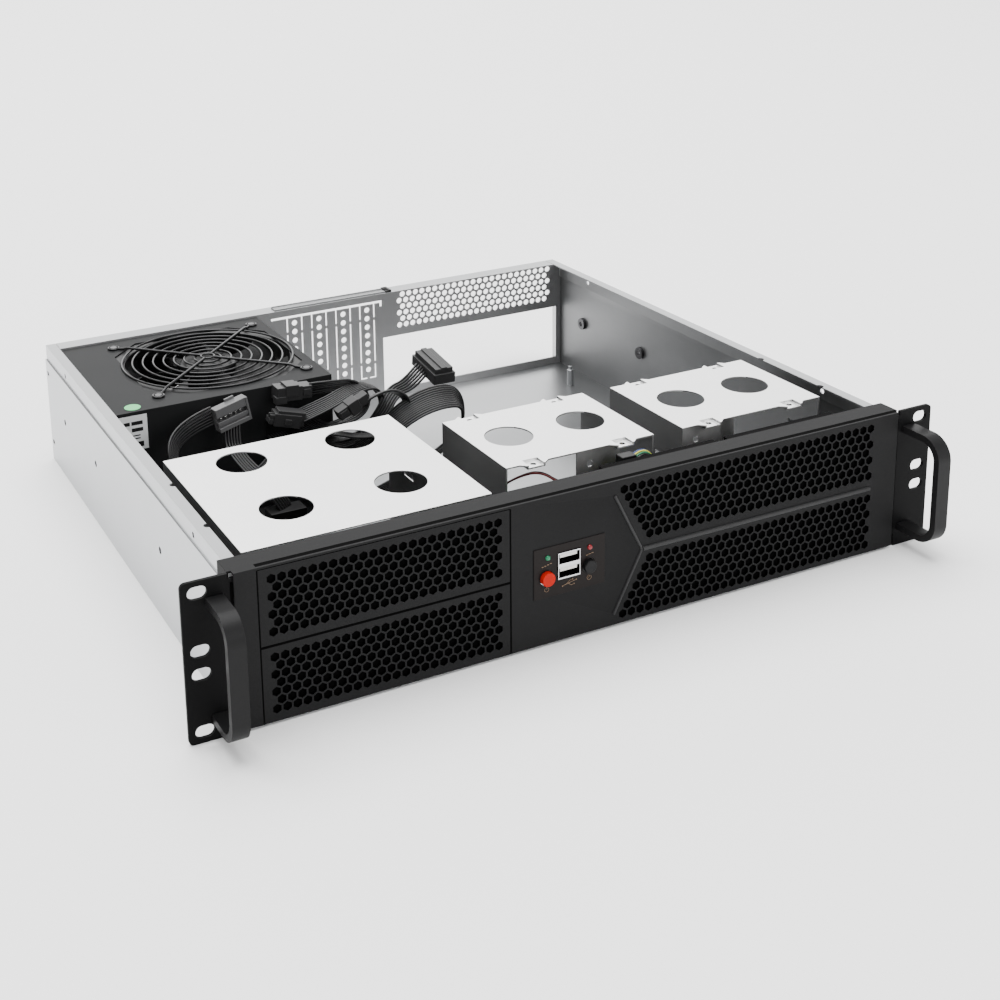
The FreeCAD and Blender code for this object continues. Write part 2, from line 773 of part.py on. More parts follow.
# Intake fans: two 80 mm fans on a steel plate behind the right mesh
fan_size = 80.0
fan_thick = 25.0
fan_xs = (61.0, 149.1)
fan_bore = 76.0
fan_hub = 17.0
fan_tip_gap = 1.2
fan_blades = 7
cup_wall = 2.0
rotor_gap = 0.8
blade_thick = 1.6
blade_root_share = 0.72
blade_tip_share = 0.62
fan_hole_reach = 35.75
fan_screw = 2.1
fan_cap = 3.5
fan_cap_rise = 1.6
shaft = 1.5
strut = 3.5
strut_thick = 3.0
post_share = 0.4
fan_z = fan_low + fan_size / 2


def fan_frame(size, thick, bore, hub, hole_reach, hole):
    body = Part.makeBox(size, size, thick, FreeCAD.Vector(-size / 2, -size / 2, 0))
    body = body.cut(Part.makeCylinder(bore / 2, thick, FreeCAD.Vector(0, 0, strut_thick)))
    ring = Part.makeCylinder(bore / 2, strut_thick).cut(Part.makeCylinder(hub, strut_thick))
    spokes = [Part.makeBox(bore, strut, strut_thick, FreeCAD.Vector(-bore / 2, -strut / 2, 0)),
              Part.makeBox(strut, bore, strut_thick, FreeCAD.Vector(-strut / 2, -bore / 2, 0))]
    body = body.cut(ring.cut(spokes[0].fuse(spokes[1])))
    tools = [Part.makeCylinder(hole, thick + 2, FreeCAD.Vector(sx * hole_reach, sy * hole_reach, -1))
             for sx in (-1, 1) for sy in (-1, 1)]
    post = Part.makeCylinder(shaft * 3, thick * post_share)
    body = body.fuse(post)
    tools.append(Part.makeCylinder(shaft + running, thick, FreeCAD.Vector(0, 0, strut_thick - 1)))
    return body.cut(Part.makeCompound(tools)).removeSplitter()


def fan_rotor(thick, bore, hub):
    tip = bore / 2 - fan_tip_gap
    low = strut_thick + rotor_gap
    high = thick - rotor_gap
    cup = Part.makeCylinder(hub, high - low, FreeCAD.Vector(0, 0, low))
    cup = cup.cut(Part.makeCylinder(hub - cup_wall, high - low - cup_wall, FreeCAD.Vector(0, 0, low)))
    axle = Part.makeCylinder(shaft, high - low - 1, FreeCAD.Vector(0, 0, low))
    pieces = [cup, axle]
    root = 2 * math.pi * hub / fan_blades * blade_root_share
    reach = 2 * math.pi * tip / fan_blades * blade_tip_share
    blade_low = low + rotor_gap
    blade_high = high - rotor_gap
    for index in range(fan_blades):
        wires = []
        for radius, width in ((hub - cup_wall / 2, root), (tip, reach)):
            edge = [FreeCAD.Vector(radius, -width / 2, blade_low),
                    FreeCAD.Vector(radius, -width / 2, blade_low + blade_thick),
                    FreeCAD.Vector(radius, width / 2, blade_high),
                    FreeCAD.Vector(radius, width / 2, blade_high - blade_thick)]
            wires.append(Part.makePolygon(edge + edge[:1]))
        blade = Part.makeLoft(wires, True)
        blade.rotate(FreeCAD.Vector(0, 0, 0), FreeCAD.Vector(0, 0, 1), index * 360 / fan_blades)
        pieces.append(blade)
    shape = pieces[0].multiFuse(pieces[1:])
    keep = Part.makeCylinder(tip, thick * 2, FreeCAD.Vector(0, 0, -thick / 2))
    return shape.common(keep).removeSplitter()


# A fan is built with its struts at the bottom, then turned so that the struts face the rear
def place_upright(shape, x):
    shape.rotate(FreeCAD.Vector(0, 0, 0), FreeCAD.Vector(1, 0, 0), 90)
    shape.translate(at(x, fan_front + fan_thick, fan_z))
    return shape


fan_screws = []
intake_fans = []
for x, name in zip(fan_xs, ("left", "right")):
    frame = fan_frame(fan_size, fan_thick, fan_bore, fan_hub, fan_hole_reach, fan_screw)
    intake_fans.append(place_upright(frame, x))
    save("intake_rotor_" + name, [place_upright(fan_rotor(fan_thick, fan_bore, fan_hub), x)])
    for sx in (-1, 1):
        for sz in (-1, 1):
            sx_at = x + sx * fan_hole_reach
            sz_at = fan_z + sz * fan_hole_reach
            back = fan_front + fan_thick
            pin = rod_y(fan_screw - running, fan_front - fan_plate_sheet, back, sx_at, sz_at)
            cap = rod_y(fan_cap, back, back + fan_cap_rise, sx_at, sz_at)
            fan_screws.append(joined([pin, cap]))
save("intake_fans", intake_fans)
save("case_screws", handle_screws + fan_screws)

plate_d0 = fan_front - fan_plate_sheet
fan_plate = [block(fan_plate_left, fan_plate_right, plate_d0, fan_front, fan_low, fan_plate_high)]
for x0 in (fan_plate_left, fan_plate_right - fan_plate_sheet):
    fan_plate.append(block(x0, x0 + fan_plate_sheet, face_back, fan_front, fan_low, fan_plate_high))
fan_holes = [rod_y(fan_bore / 2 - 1, plate_d0 - 1, fan_front + 1, x, fan_z) for x in fan_xs]
for x in fan_xs:
    for sx in (-1, 1):
        for sz in (-1, 1):
            fan_holes.append(rod_y(fan_screw, plate_d0 - 1, fan_front + 1, x + sx * fan_hole_reach,
                                   fan_z + sz * fan_hole_reach))
save("fan_plate", [pierced(joined(fan_plate), fan_holes)])

# Board standoff that stands on the floor
standoff_x = 191.7
standoff_depth = 327.0
standoff_height = 13.0
standoff_radius = 2.6
stud_radius = 1.5
stud_height = 3.0
standoff_top = sheet + standoff_height
standoff = rod_z(standoff_radius, sheet, standoff_top, standoff_x, standoff_depth)
stud = rod_z(stud_radius, standoff_top, standoff_top + stud_height, standoff_x, standoff_depth)
save("board_standoff", [joined([standoff, stud])])

# Power supply shell: a base with front and rear walls, and a cover over it
guard_x = -118.7
guard_depth = 306.2
supply_fan_size = 120.0
supply_fan_thick = 25.0
supply_fan_bore = 115.0
supply_fan_hub = 20.0
supply_fan_reach = 52.5
supply_fan_hole = 2.2
fan_opening_half = 56.5
fan_opening_flat = 35.5
bush_left = -103.5
bush_right = -58.5
bush_low = 38.5
bush_high = 61.5
bush_wall = 1.2
inlet_x = -178.0
inlet_z = 48.0
inlet_width = 27.0
inlet_height = 20.0
rocker_x = -145.0
rocker_width = 13.0
rocker_height = 19.0
grille_hole = 5.0
grille_pitch = 6.6
grille_start = 18.0
grille_low = 15.0
grille_rows = 9
grille_columns = 9


def supply_base():
    d0 = supply_front
    d1 = supply_rear
    left = supply_left + supply_sheet + fit
    right = supply_right - supply_sheet - fit
    high = supply_top - supply_sheet
    plates = [block(left, right, d0, d1, sheet, sheet + supply_sheet),
              block(left, right, d0, d0 + supply_sheet, sheet, high),
              block(left, right, d1 - supply_sheet, d1, sheet, high)]
    cuts = [block(bush_left, bush_right, d0 - 1, d0 + supply_sheet + 1, bush_low, bush_high),
            block(inlet_x - inlet_width / 2, inlet_x + inlet_width / 2, d1 - supply_sheet - 1, d1 + 1,
                  inlet_z - inlet_height / 2, inlet_z + inlet_height / 2),
            block(rocker_x - rocker_width / 2, rocker_x + rocker_width / 2, d1 - supply_sheet - 1, d1 + 1,
                  inlet_z - rocker_height / 2, inlet_z + rocker_height / 2)]
    cuts += [rod_y(supply_screw / 2 - running, d1 - supply_sheet - 1, d1 + 1, x, z)
             for x, z in supply_screw_places()]
    for row in range(grille_rows):
        shift = grille_pitch / 2 if row % 2 else 0.0
        for column in range(grille_columns):
            x = rocker_x + grille_start + shift + column * grille_pitch
            cuts.append(round_cut_y(grille_hole / 2, 6, d1 - supply_sheet - 1, d1 + 1, x,
                                    grille_low + row * grille_pitch))
    return pierced(joined(plates), cuts)


def supply_cover():
    left = supply_left
    right = supply_right
    d0 = supply_front
    d1 = supply_rear
    plates = [block(left, right, d0, d1, supply_top - supply_sheet, supply_top),
              block(left, left + supply_sheet, d0, d1, sheet, supply_top),
              block(right - supply_sheet, right, d0, d1, sheet, supply_top)]
    wide = fan_opening_half
    flat = fan_opening_flat
    corners = [(wide, flat), (flat, wide), (-flat, wide), (-wide, flat),
               (-wide, -flat), (-flat, -wide), (flat, -wide), (wide, -flat)]
    cuts = [slab_z([(guard_x + x, guard_depth + y) for x, y in corners], supply_top - 2, supply_top + 1)]
    for sx in (-1, 1):
        for sy in (-1, 1):
            cuts.append(rod_z(supply_fan_hole, supply_top - 2, supply_top + 1,
                              guard_x + sx * supply_fan_reach, guard_depth + sy * supply_fan_reach))
    return pierced(joined(plates), cuts)


save("supply_base", [supply_base()])
save("supply_cover", [supply_cover()])

# Supply fan under the cover, blowing down; struts at the bottom
fan_base_z = supply_top - supply_sheet - supply_fan_thick
supply_frame = fan_frame(supply_fan_size, supply_fan_thick, supply_fan_bore, supply_fan_hub,
                         supply_fan_reach, supply_fan_hole)
supply_frame.translate(at(guard_x, guard_depth, fan_base_z))
supply_rotor = fan_rotor(supply_fan_thick, supply_fan_bore, supply_fan_hub)
supply_rotor.translate(at(guard_x, guard_depth, fan_base_z))
save("supply_fan", [supply_frame])
save("supply_rotor", [supply_rotor])

# Wire guard: welded rings on four spokes with screw loops
guard_wire = 0.75
guard_first = 9.5
guard_outer = 59.3
guard_rings = 10
guard_disc = 5.0
loop_radius = 3.6
cover_screw = 1.9
cover_screw_rise = 1.4
cover_shank = 4.0
panel_screw_head = 3.4
panel_screw_rise = 2.0
guard_z = supply_top + guard_wire


def wire_ring(radius, centre):
    points = []
    for index in range(4):
        angle = math.radians(90 * index)
        points.append(centre + FreeCAD.Vector(radius + guard_wire * math.cos(angle), 0,
                                              guard_wire * math.sin(angle)))
    section = Part.Face(Part.makePolygon(points + points[:1]))
    return section.revolve(centre, FreeCAD.Vector(0, 0, 1), 360)


def guard():
    pieces = []
    step = (guard_outer - guard_first) / (guard_rings - 1)
    for index in range(guard_rings):
        pieces.append(wire_ring(guard_first + index * step, at(guard_x, guard_depth, guard_z)))
    thin = guard_wire * 2 / 3
    pieces.append(rod_z(guard_disc, guard_z - thin, guard_z + thin, guard_x, guard_depth))
    start = guard_disc - guard_wire
    reach = supply_fan_reach * math.sqrt(2) - loop_radius
    for index in range(4):
        angle = math.radians(45 + 90 * index)
        line = FreeCAD.Vector(math.cos(angle), math.sin(angle), 0)
        centre = at(guard_x, guard_depth, guard_z)
        pieces.append(Part.makeCylinder(guard_wire, reach - start, centre + line * start, line))
        pieces.append(wire_ring(loop_radius, centre + line * (reach + loop_radius)))
    shape = pieces[0]
    for piece in pieces[1:]:
        shape = shape.fuse(piece)
    return shape


save("fan_guard", [guard()])
supply_screws = []
for sx in (-1, 1):
    for sy in (-1, 1):
        x = guard_x + sx * supply_fan_reach
        depth = guard_depth + sy * supply_fan_reach
        shank = rod_z(cover_screw, supply_top - supply_sheet - cover_shank, supply_top, x, depth)
        head = rod_z(loop_radius - guard_wire - fit, supply_top, supply_top + cover_screw_rise, x, depth)
        supply_screws.append(joined([shank, head]))
for x, z in supply_screw_places():
    shank = rod_y(supply_screw / 2 - 2 * running, supply_rear - cover_shank, supply_rear + panel_sheet, x, z)
    head = rod_y(panel_screw_head, supply_rear + panel_sheet,
                 supply_rear + panel_sheet + panel_screw_rise, x, z)
    supply_screws.append(joined([shank, head]))
save("supply_screws", supply_screws)

# Sticker and side label of the supply, left blank of words
sticker_x = -191.8
sticker_depth = 243.5
sticker_size = 10.6
sticker_thick = 0.2
sticker = rod_z(sticker_size / 2, supply_top, supply_top + sticker_thick, sticker_x, sticker_depth)
label_left = -203.5
label_right = -185.0
label_low = 60.0
label_high = 83.5
label = block(label_left, label_right, supply_front - sticker_thick, supply_front, label_low, label_high)
save("supply_labels", [sticker, label])


# Cable bush: a rubber block in the front wall of the supply, moulded round its leads
bush_lip = block(bush_left - bush_wall, bush_right + bush_wall, supply_front - bush_wall, supply_front,
                 bush_low - bush_wall, bush_high + bush_wall)
bush_neck = block(bush_left + fit, bush_right - fit, supply_front - bush_wall, supply_front + supply_sheet,
                  bush_low + fit, bush_high - fit)
save("cable_bush", [joined([bush_lip, bush_neck])])

# Mains inlet with its three pins, and the rocker switch in its bezel
inlet_lip = 2.0
inlet_depth = 14.0
inlet_cavity_width = 22.0
inlet_cavity_height = 15.0
pin_width = 2.0
pin_height = 4.0
pin_step = 7.0
pin_inset = 4.0
pin_lift = 1.5
inlet_back = 2.0
rocker_axis = 2.0
rocker_face = 3.4
rocker_dish = 1.0
rocker_root = 0.5
rocker_room = 1.0
rocker_pivot = 1.0
rocker_gap = 0.4
rocker_tilt = 8.0
bezel_wall = 1.2
bezel_depth = 9.0


def mains_inlet():
    d1 = supply_rear
    lip = block(inlet_x - inlet_width / 2 + running, inlet_x + inlet_width / 2 - running,
                d1 - inlet_depth, d1 + inlet_lip,
                inlet_z - inlet_height / 2 + running, inlet_z + inlet_height / 2 - running)
    cavity = block(inlet_x - inlet_cavity_width / 2, inlet_x + inlet_cavity_width / 2,
                   d1 - inlet_depth + inlet_back, d1 + inlet_lip + 1,
                   inlet_z - inlet_cavity_height / 2, inlet_z + inlet_cavity_height / 2)
    return lip.cut(cavity)


def inlet_pins():
    d0 = supply_rear - inlet_depth + inlet_back
    pins = []
    for step, lift in ((-1, -1), (0, 1), (1, -1)):
        x = inlet_x + step * pin_step
        z = inlet_z + lift * pin_lift
        pins.append(block(x - pin_width / 2, x + pin_width / 2, d0, supply_rear - pin_inset,
                          z - pin_height / 2, z + pin_height / 2))
    return pins


def rocker_bezel():
    d1 = supply_rear
    outer = block(rocker_x - rocker_width / 2 + running, rocker_x + rocker_width / 2 - running,
                  d1 - bezel_depth, d1 + panel_sheet,
                  inlet_z - rocker_height / 2 + running, inlet_z + rocker_height / 2 - running)
    hollow = block(rocker_x - rocker_width / 2 + bezel_wall, rocker_x + rocker_width / 2 - bezel_wall,
                   d1 - bezel_depth + 1, d1 + panel_sheet + 1,
                   inlet_z - rocker_height / 2 + bezel_wall, inlet_z + rocker_height / 2 - bezel_wall)
    bore = rod_x(rocker_pivot + running, rocker_x - rocker_width / 2, rocker_x + rocker_width / 2,
                 d1 - rocker_axis, inlet_z)
    return outer.cut(hollow).cut(bore)


def rocker():
    half = rocker_height / 2 - bezel_wall - rocker_room
    d1 = supply_rear - rocker_axis
    tip = d1 + rocker_face - rocker_dish / 2
    corners = [(d1 - rocker_axis, inlet_z - half * rocker_root), (tip, inlet_z - half),
               (tip - rocker_dish, inlet_z), (tip, inlet_z + half),
               (d1 - rocker_axis, inlet_z + half * rocker_root)]
    side = rocker_width / 2 - bezel_wall - rocker_gap
    body = slab_x(corners, rocker_x - side, rocker_x + side)
    pin_half = rocker_width / 2 - rocker_gap / 2
    pin = rod_x(rocker_pivot, rocker_x - pin_half, rocker_x + pin_half, d1, inlet_z)
    shape = joined([body, pin])
    shape.rotate(at(rocker_x, d1, inlet_z), FreeCAD.Vector(1, 0, 0), -rocker_tilt)
    return shape


save("mains_inlet", [joined([mains_inlet(), *inlet_pins()])])
save("rocker_bezel", [rocker_bezel()])
save("supply_rocker", [rocker()])

# Circuit board of the supply with its heat sinks, transformer and capacitors
pcb_lift = 5.0
pcb_sheet = 1.6
pcb_margin = 6.0
pcb_low = sheet + supply_sheet + pcb_lift
pcb_high = pcb_low + pcb_sheet
pcb_left = supply_left + pcb_margin
pcb_right = supply_right - pcb_margin
pcb_front = supply_front + 10.0
pcb_rear = supply_rear - inlet_depth - 3.0
post_radius = 2.5
post_inset = 5.0
sink_rise = 38.0
sink_offsets = (34.0, 92.0)
sink_spine = 3.0
sink_inset = 8.0
fin_reach = 6.0
fin_low = 14.0
fin_sheet = 2.0
fin_pitch = 9.0
fin_count = 10
core_left = 52.0
core_front = 38.0
core_width = 26.0
core_length = 34.0
core_rise = 30.0
capacitor_sizes = ((9.0, 34.0, 64.0, 18.0), (5.0, 22.0, 116.0, 24.0), (5.0, 22.0, 116.0, 40.0))
posts = [rod_z(post_radius, sheet + supply_sheet, pcb_low, x, d)
         for x in (pcb_left + post_inset, pcb_right - post_inset)
         for d in (pcb_front + post_inset, pcb_rear - post_inset)]
save("supply_board", [joined([block(pcb_left, pcb_right, pcb_front, pcb_rear, pcb_low, pcb_high), *posts])])
sinks = []
for offset in sink_offsets:
    spine_left = pcb_left + offset
    first_fin = pcb_front + sink_inset + fin_sheet
    spine = block(spine_left, spine_left + sink_spine, pcb_front + sink_inset, pcb_rear - sink_inset,
                  pcb_high, pcb_high + sink_rise)
    fins = [block(spine_left - fin_reach, spine_left + sink_spine + fin_reach,
                  first_fin + n * fin_pitch, first_fin + n * fin_pitch + fin_sheet,
                  pcb_high + fin_low, pcb_high + sink_rise) for n in range(fin_count)]
    sinks.append(joined([spine, *fins]))
transformer = block(pcb_left + core_left, pcb_left + core_left + core_width,
                    pcb_front + core_front, pcb_front + core_front + core_length,
                    pcb_high, pcb_high + core_rise)
capacitors = [rod_z(radius, pcb_high, pcb_high + rise, pcb_left + x, pcb_front + d)
              for radius, rise, x, d in capacitor_sizes]
save("supply_parts", [*sinks, transformer, *capacitors])

# Leads: each is a limp lead of straight runs and arcs between its plug and where it leaves
lead_radius = 1.6
thin_radius = 1.0
lead_exit = supply_front - bush_wall


def lead(name, points, radius):
    places = [at(*p) for p in points]
    edges = []
    start = places[0]
    radii = []
    for before, here, after in zip(places, places[1:], places[2:]):
        into = here - before
        out = after - here
        tangent = 0.45 * min(into.Length, out.Length)
        into.normalize()
        out.normalize()
        half_turn = into.getAngle(out) / 2
        arc_radius = tangent / math.tan(half_turn)
        radii.append(round(arc_radius, 1))
        first = here - into * tangent
        last = here + out * tangent
        inward = out - into
        inward.normalize()
        middle = here + inward * (arc_radius / math.cos(half_turn) - arc_radius)
        edges.append(Part.LineSegment(start, first).toShape())
        edges.append(Part.Arc(first, middle, last).toShape())
        start = last
    edges.append(Part.LineSegment(start, places[-1]).toShape())
    path = Part.Wire(edges)
    ring = Part.Wire([Part.makeCircle(radius, places[0], places[1] - places[0])])
    tube = path.makePipeShell([ring], True, False)
    expected = math.pi * radius ** 2 * path.Length
    print(name, "length", round(path.Length, 1), "radii", radii)
    print("volume ratio", round(tube.Volume / expected, 4))
    save(name, [tube])


lead("lead_wide", [(-88, lead_exit, 44), (-88, 216, 44), (-66, 201, 34), (-45, 187, 43), (-27, 181, 61),
                   (-6, 180, 79), (15, 180, 75), (17, 179, 54), (-2, 176, 43), (-26, 172, 34),
                   (-50, 167, 27), (-70, 165, 22)], lead_radius)
lead("lead_connector", [(-76, lead_exit, 44), (-76, 219, 44), (-52, 206, 42), (-31, 200, 54),
                        (-17, 206, 69), (-4, 220, 78), (10, 230, 80)], lead_radius)
lead("lead_arc", [(-64, lead_exit, 44), (-64, 220, 44), (-42, 213, 50), (-24, 217, 64), (-32, 221, 80),
                  (-52, 213, 82), (-71, 208, 77), (-88, 212, 71)], lead_radius)
lead("lead_block", [(-72, lead_exit, 56), (-72, 220, 56), (-60, 214, 59), (-44, 218, 62), (-38, 222, 72),
                    (-45, 226, 84), (-61, 228, 85), (-75, 229, 83)], lead_radius)
lead("lead_loop", [(-98, lead_exit, 52), (-98, 215, 52), (-118, 201, 42), (-143, 191, 38), (-167, 190, 46),
                   (-182, 200, 62), (-172, 215, 76), (-152, 222, 80)], lead_radius)
lead("lead_comb", [(-133, 221, 70), (-132, 217, 58), (-129, 204, 52), (-125, 190, 50), (-121, 177, 42),
                   (-118, 171, 30)], lead_radius)
lead("lead_small", [(-82, lead_exit, 56), (-82, 218, 56), (-72, 201, 60), (-54, 190, 57), (-38, 188, 59),
                    (-26, 189, 64), (-22, 191, 75), (-31, 194, 83), (-42, 196, 82), (-50, 196.5, 79.5)],
     lead_radius)
lead("fan_lead", [(25, 32.4, 70), (14, 36, 74), (-1, 44, 71), (-13, 57, 65), (-20, 73, 56), (-21, 90, 44)],
     thin_radius)
lead("panel_lead", [(-3.4, 14.6, 38), (5, 25, 42), (20, 36, 47), (36, 38.5, 50), (54, 38.5, 54),
                    (67, 38, 62), (69, 37, 73), (60, 37, 79), (49, 37, 78)], thin_radius)

# Plugs at the lead ends
save("plug_wide", [block(-98, -70, 159, 171, 16, 28)])
save("plug_connector", [joined([block(10, 26, 212, 246, 75, 86), block(14, 26, 224, 234, 86, 87.6)])])
save("plug_flat", [joined([block(-108, -88, 206, 218, 66, 76), block(-104, -96, 206, 218, 76, 77.4)])])
save("plug_block", [joined([block(-97, -75, 223, 234.5, 77, 88.6), block(-101, -97, 224.5, 233, 78, 87)])])
save("plug_comb", [joined([block(-148, -119, 218, 226, 70, 87), block(-152, -148, 220, 224, 76, 84)])])
save("plug_small", [joined([block(-62, -50, 190.5, 202.5, 74, 84), block(-73, -62, 191.5, 200.5, 75, 82)])])
save("plug_low", [block(-130, -106, 165, 177, 18, 30)])
save("plug_panel", [block(39, 49, 33.5, 40.5, 73, 83)])
save("plug_fan", [block(-26, -16, 90, 101, 40, 48)])
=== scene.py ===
import bmesh
import bpy
import json
import math
from mathutils import Matrix, Vector

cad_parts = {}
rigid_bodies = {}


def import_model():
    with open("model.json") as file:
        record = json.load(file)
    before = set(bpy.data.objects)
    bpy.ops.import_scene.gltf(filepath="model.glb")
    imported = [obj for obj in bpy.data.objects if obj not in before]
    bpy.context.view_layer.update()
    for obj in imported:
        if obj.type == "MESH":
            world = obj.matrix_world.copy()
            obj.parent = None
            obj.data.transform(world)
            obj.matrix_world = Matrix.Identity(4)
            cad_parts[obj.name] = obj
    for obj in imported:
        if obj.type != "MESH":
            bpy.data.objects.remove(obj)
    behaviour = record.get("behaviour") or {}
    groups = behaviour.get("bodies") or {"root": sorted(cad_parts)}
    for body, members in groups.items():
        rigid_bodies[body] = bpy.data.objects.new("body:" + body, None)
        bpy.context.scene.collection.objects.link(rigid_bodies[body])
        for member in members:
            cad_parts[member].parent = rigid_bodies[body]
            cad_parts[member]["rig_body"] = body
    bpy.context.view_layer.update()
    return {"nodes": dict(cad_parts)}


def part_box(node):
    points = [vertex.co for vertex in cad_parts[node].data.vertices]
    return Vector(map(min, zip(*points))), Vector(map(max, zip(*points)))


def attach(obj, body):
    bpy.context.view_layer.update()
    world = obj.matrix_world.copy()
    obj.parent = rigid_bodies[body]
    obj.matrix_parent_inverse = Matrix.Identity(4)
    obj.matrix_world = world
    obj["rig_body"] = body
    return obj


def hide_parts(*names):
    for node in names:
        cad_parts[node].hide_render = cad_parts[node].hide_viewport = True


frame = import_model()
nodes = frame["nodes"]

# Studio: the case stands on a pale floor under broad soft lamps and is seen from its left front,
# a little above its own height. The camera was matched to the rack slots, walls and front panel.
mm = 0.001
ear_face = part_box("rack_ear_left")[0].y
image_side = 1000.0
film_width = 36.0
focal_pixels = 1517.7
middle_pixel = (350.0, 200.0)
camera_place = (-434.3, -647.4, 446.4)
camera_heading = math.radians(24.18)
camera_dip = math.radians(14.05)
camera_roll = math.radians(-1.89)


def at(x, depth, z):
    return Vector((x * mm, ear_face + depth * mm, z * mm))


def link(item):
    bpy.context.scene.collection.objects.link(item)
    return item


forward = Vector((math.sin(camera_heading) * math.cos(camera_dip),
                  math.cos(camera_heading) * math.cos(camera_dip), -math.sin(camera_dip)))
level = Vector((math.cos(camera_heading), -math.sin(camera_heading), 0.0))
overhead = level.cross(forward)
right = level * math.cos(camera_roll) + overhead * math.sin(camera_roll)
upward = overhead * math.cos(camera_roll) - level * math.sin(camera_roll)
camera = link(bpy.data.objects.new("camera", bpy.data.cameras.new("camera")))
camera.data.sensor_width = film_width
camera.data.lens = film_width * focal_pixels / image_side
camera.data.shift_x = (image_side / 2 - middle_pixel[0]) / image_side
camera.data.shift_y = (middle_pixel[1] - image_side / 2) / image_side
camera.data.clip_start = 0.01
turn = Matrix((right, upward, -forward)).transposed().to_4x4()
camera.matrix_world = Matrix.Translation(at(*camera_place)) @ turn
bpy.context.scene.camera = camera

floor_reach = 20.0
floor_corners = [(-floor_reach, -floor_reach, 0.0), (floor_reach, -floor_reach, 0.0),
                 (floor_reach, floor_reach, 0.0), (-floor_reach, floor_reach, 0.0)]
floor_mesh = bpy.data.meshes.new("floor")
floor_mesh.from_pydata(floor_corners, [], [(0, 1, 2, 3)])
floor = link(bpy.data.objects.new("floor", floor_mesh))
floor_paint = bpy.data.materials.new("floor_paint")
floor_paint.use_nodes = True
floor_shader = floor_paint.node_tree.nodes["Principled BSDF"]
floor_shader.inputs["Base Color"].default_value = (0.93, 0.93, 0.93, 1.0)
floor_shader.inputs["Roughness"].default_value = 0.9
floor_shader.inputs["Specular IOR Level"].default_value = 0.1
floor_mesh.materials.append(floor_paint)

sky = bpy.data.worlds.new("studio")
sky.use_nodes = True
sky.node_tree.nodes["Background"].inputs["Color"].default_value = (1.0, 1.0, 1.0, 1.0)
sky.node_tree.nodes["Background"].inputs["Strength"].default_value = 0.85
bpy.context.scene.world = sky


def softbox(name, place, aim, width, height, power):
    lamp = bpy.data.lights.new(name, "AREA")
    lamp.shape = "RECTANGLE"
    lamp.size = width
    lamp.size_y = height
    lamp.energy = power
    box = link(bpy.data.objects.new(name, lamp))
    way = Vector(aim) - Vector(place)
    box.location = place
    box.rotation_euler = way.to_track_quat("-Z", "Y").to_euler()


softbox("lamp_over", (-0.3, 0.9, 4.5), aim=(0.0, 0.0, 0.0), width=5.0, height=5.0, power=620.0)
softbox("lamp_back", (1.7, 3.8, 1.7), aim=(0.0, 0.1, 0.05), width=5.5, height=1.8, power=110.0)
softbox("lamp_front", (1.6, -3.4, 1.7), aim=(0.1, -0.2, 0.05), width=2.2, height=1.8, power=60.0)

# Tub: one zinc-coated sheet folded into floor, side walls with a joggle near the top, and top flanges.
# Press nuts are squeezed into the rail holes from inside.
weld = 1e-6
flat_angle = math.radians(0.6)
facing = 0.7


def stand_for(piece, node):
    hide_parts(node)
    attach(piece, nodes[node]["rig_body"])


def rounded(node, radius, finish, corner=50.0, soft=40.0, segments=2):
    mesh = bpy.data.meshes.new(node + "_form")
    work = bmesh.new()
    work.from_mesh(nodes[node].data)
    bmesh.ops.remove_doubles(work, verts=work.verts, dist=weld)
    bmesh.ops.dissolve_limit(work, angle_limit=flat_angle, verts=work.verts, edges=work.edges)
    for face in work.faces:
        face.material_index = 0
    work.to_mesh(mesh)
    work.free()
    mesh.materials.clear()
    mesh.materials.append(finish)
    mesh.shade_smooth()
    mesh.set_sharp_from_angle(angle=math.radians(soft))
    piece = link(bpy.data.objects.new(node + "_form", mesh))
    edge = piece.modifiers.new("edge", "BEVEL")
    edge.width = radius * mm
    edge.segments = segments
    edge.limit_method = "ANGLE"
    edge.angle_limit = math.radians(corner)
    edge.harden_normals = True
    edge.use_clamp_overlap = True
    stand_for(piece, node)
    return piece


def repaint(piece, finish, chosen):
    index = len(piece.data.materials)
    piece.data.materials.append(finish)
    for polygon in piece.data.polygons:
        if chosen(polygon):
            polygon.material_index = index


def effect(name, inputs):
    group = bpy.data.node_groups.new(name, "ShaderNodeTree")
    for label, value in inputs:
        socket = group.interface.new_socket(label, in_out="INPUT", socket_type="NodeSocketFloat")
        socket.default_value = value
    for label in ("Shade", "Height"):
        group.interface.new_socket(label, in_out="OUTPUT", socket_type="NodeSocketFloat")
    entry = group.nodes.new("NodeGroupInput")
    way_out = group.nodes.new("NodeGroupOutput")
    place = group.nodes.new("ShaderNodeTexCoord")
    return group, entry, way_out, place.outputs["Object"]


def noise(group, place, scale, detail=3.0, roughness=0.5):
    cloud = group.nodes.new("ShaderNodeTexNoise")
    cloud.inputs["Detail"].default_value = detail
    cloud.inputs["Roughness"].default_value = roughness
    group.links.new(place, cloud.inputs["Vector"])
    if isinstance(scale, float):
        cloud.inputs["Scale"].default_value = scale
    else:
        group.links.new(scale, cloud.inputs["Scale"])
    return cloud.outputs["Fac"]


def arithmetic(group, operation, first, second):
    step = group.nodes.new("ShaderNodeMath")
    step.operation = operation
    for socket, value in zip(step.inputs, (first, second)):
        if isinstance(value, (int, float)):
            socket.default_value = value
        else:
            group.links.new(value, socket)
    return step.outputs[0]


def mixed(group, parts):
    total = None
    for pattern, share in parts:
        portion = arithmetic(group, "MULTIPLY", pattern, share)
        total = portion if total is None else arithmetic(group, "ADD", total, portion)
    return total


def stretched(group, place, x, y, z):
    stretch = group.nodes.new("ShaderNodeMapping")
    stretch.inputs["Scale"].default_value = (x, y, z)
    group.links.new(place, stretch.inputs["Vector"])
    return stretch.outputs["Vector"]


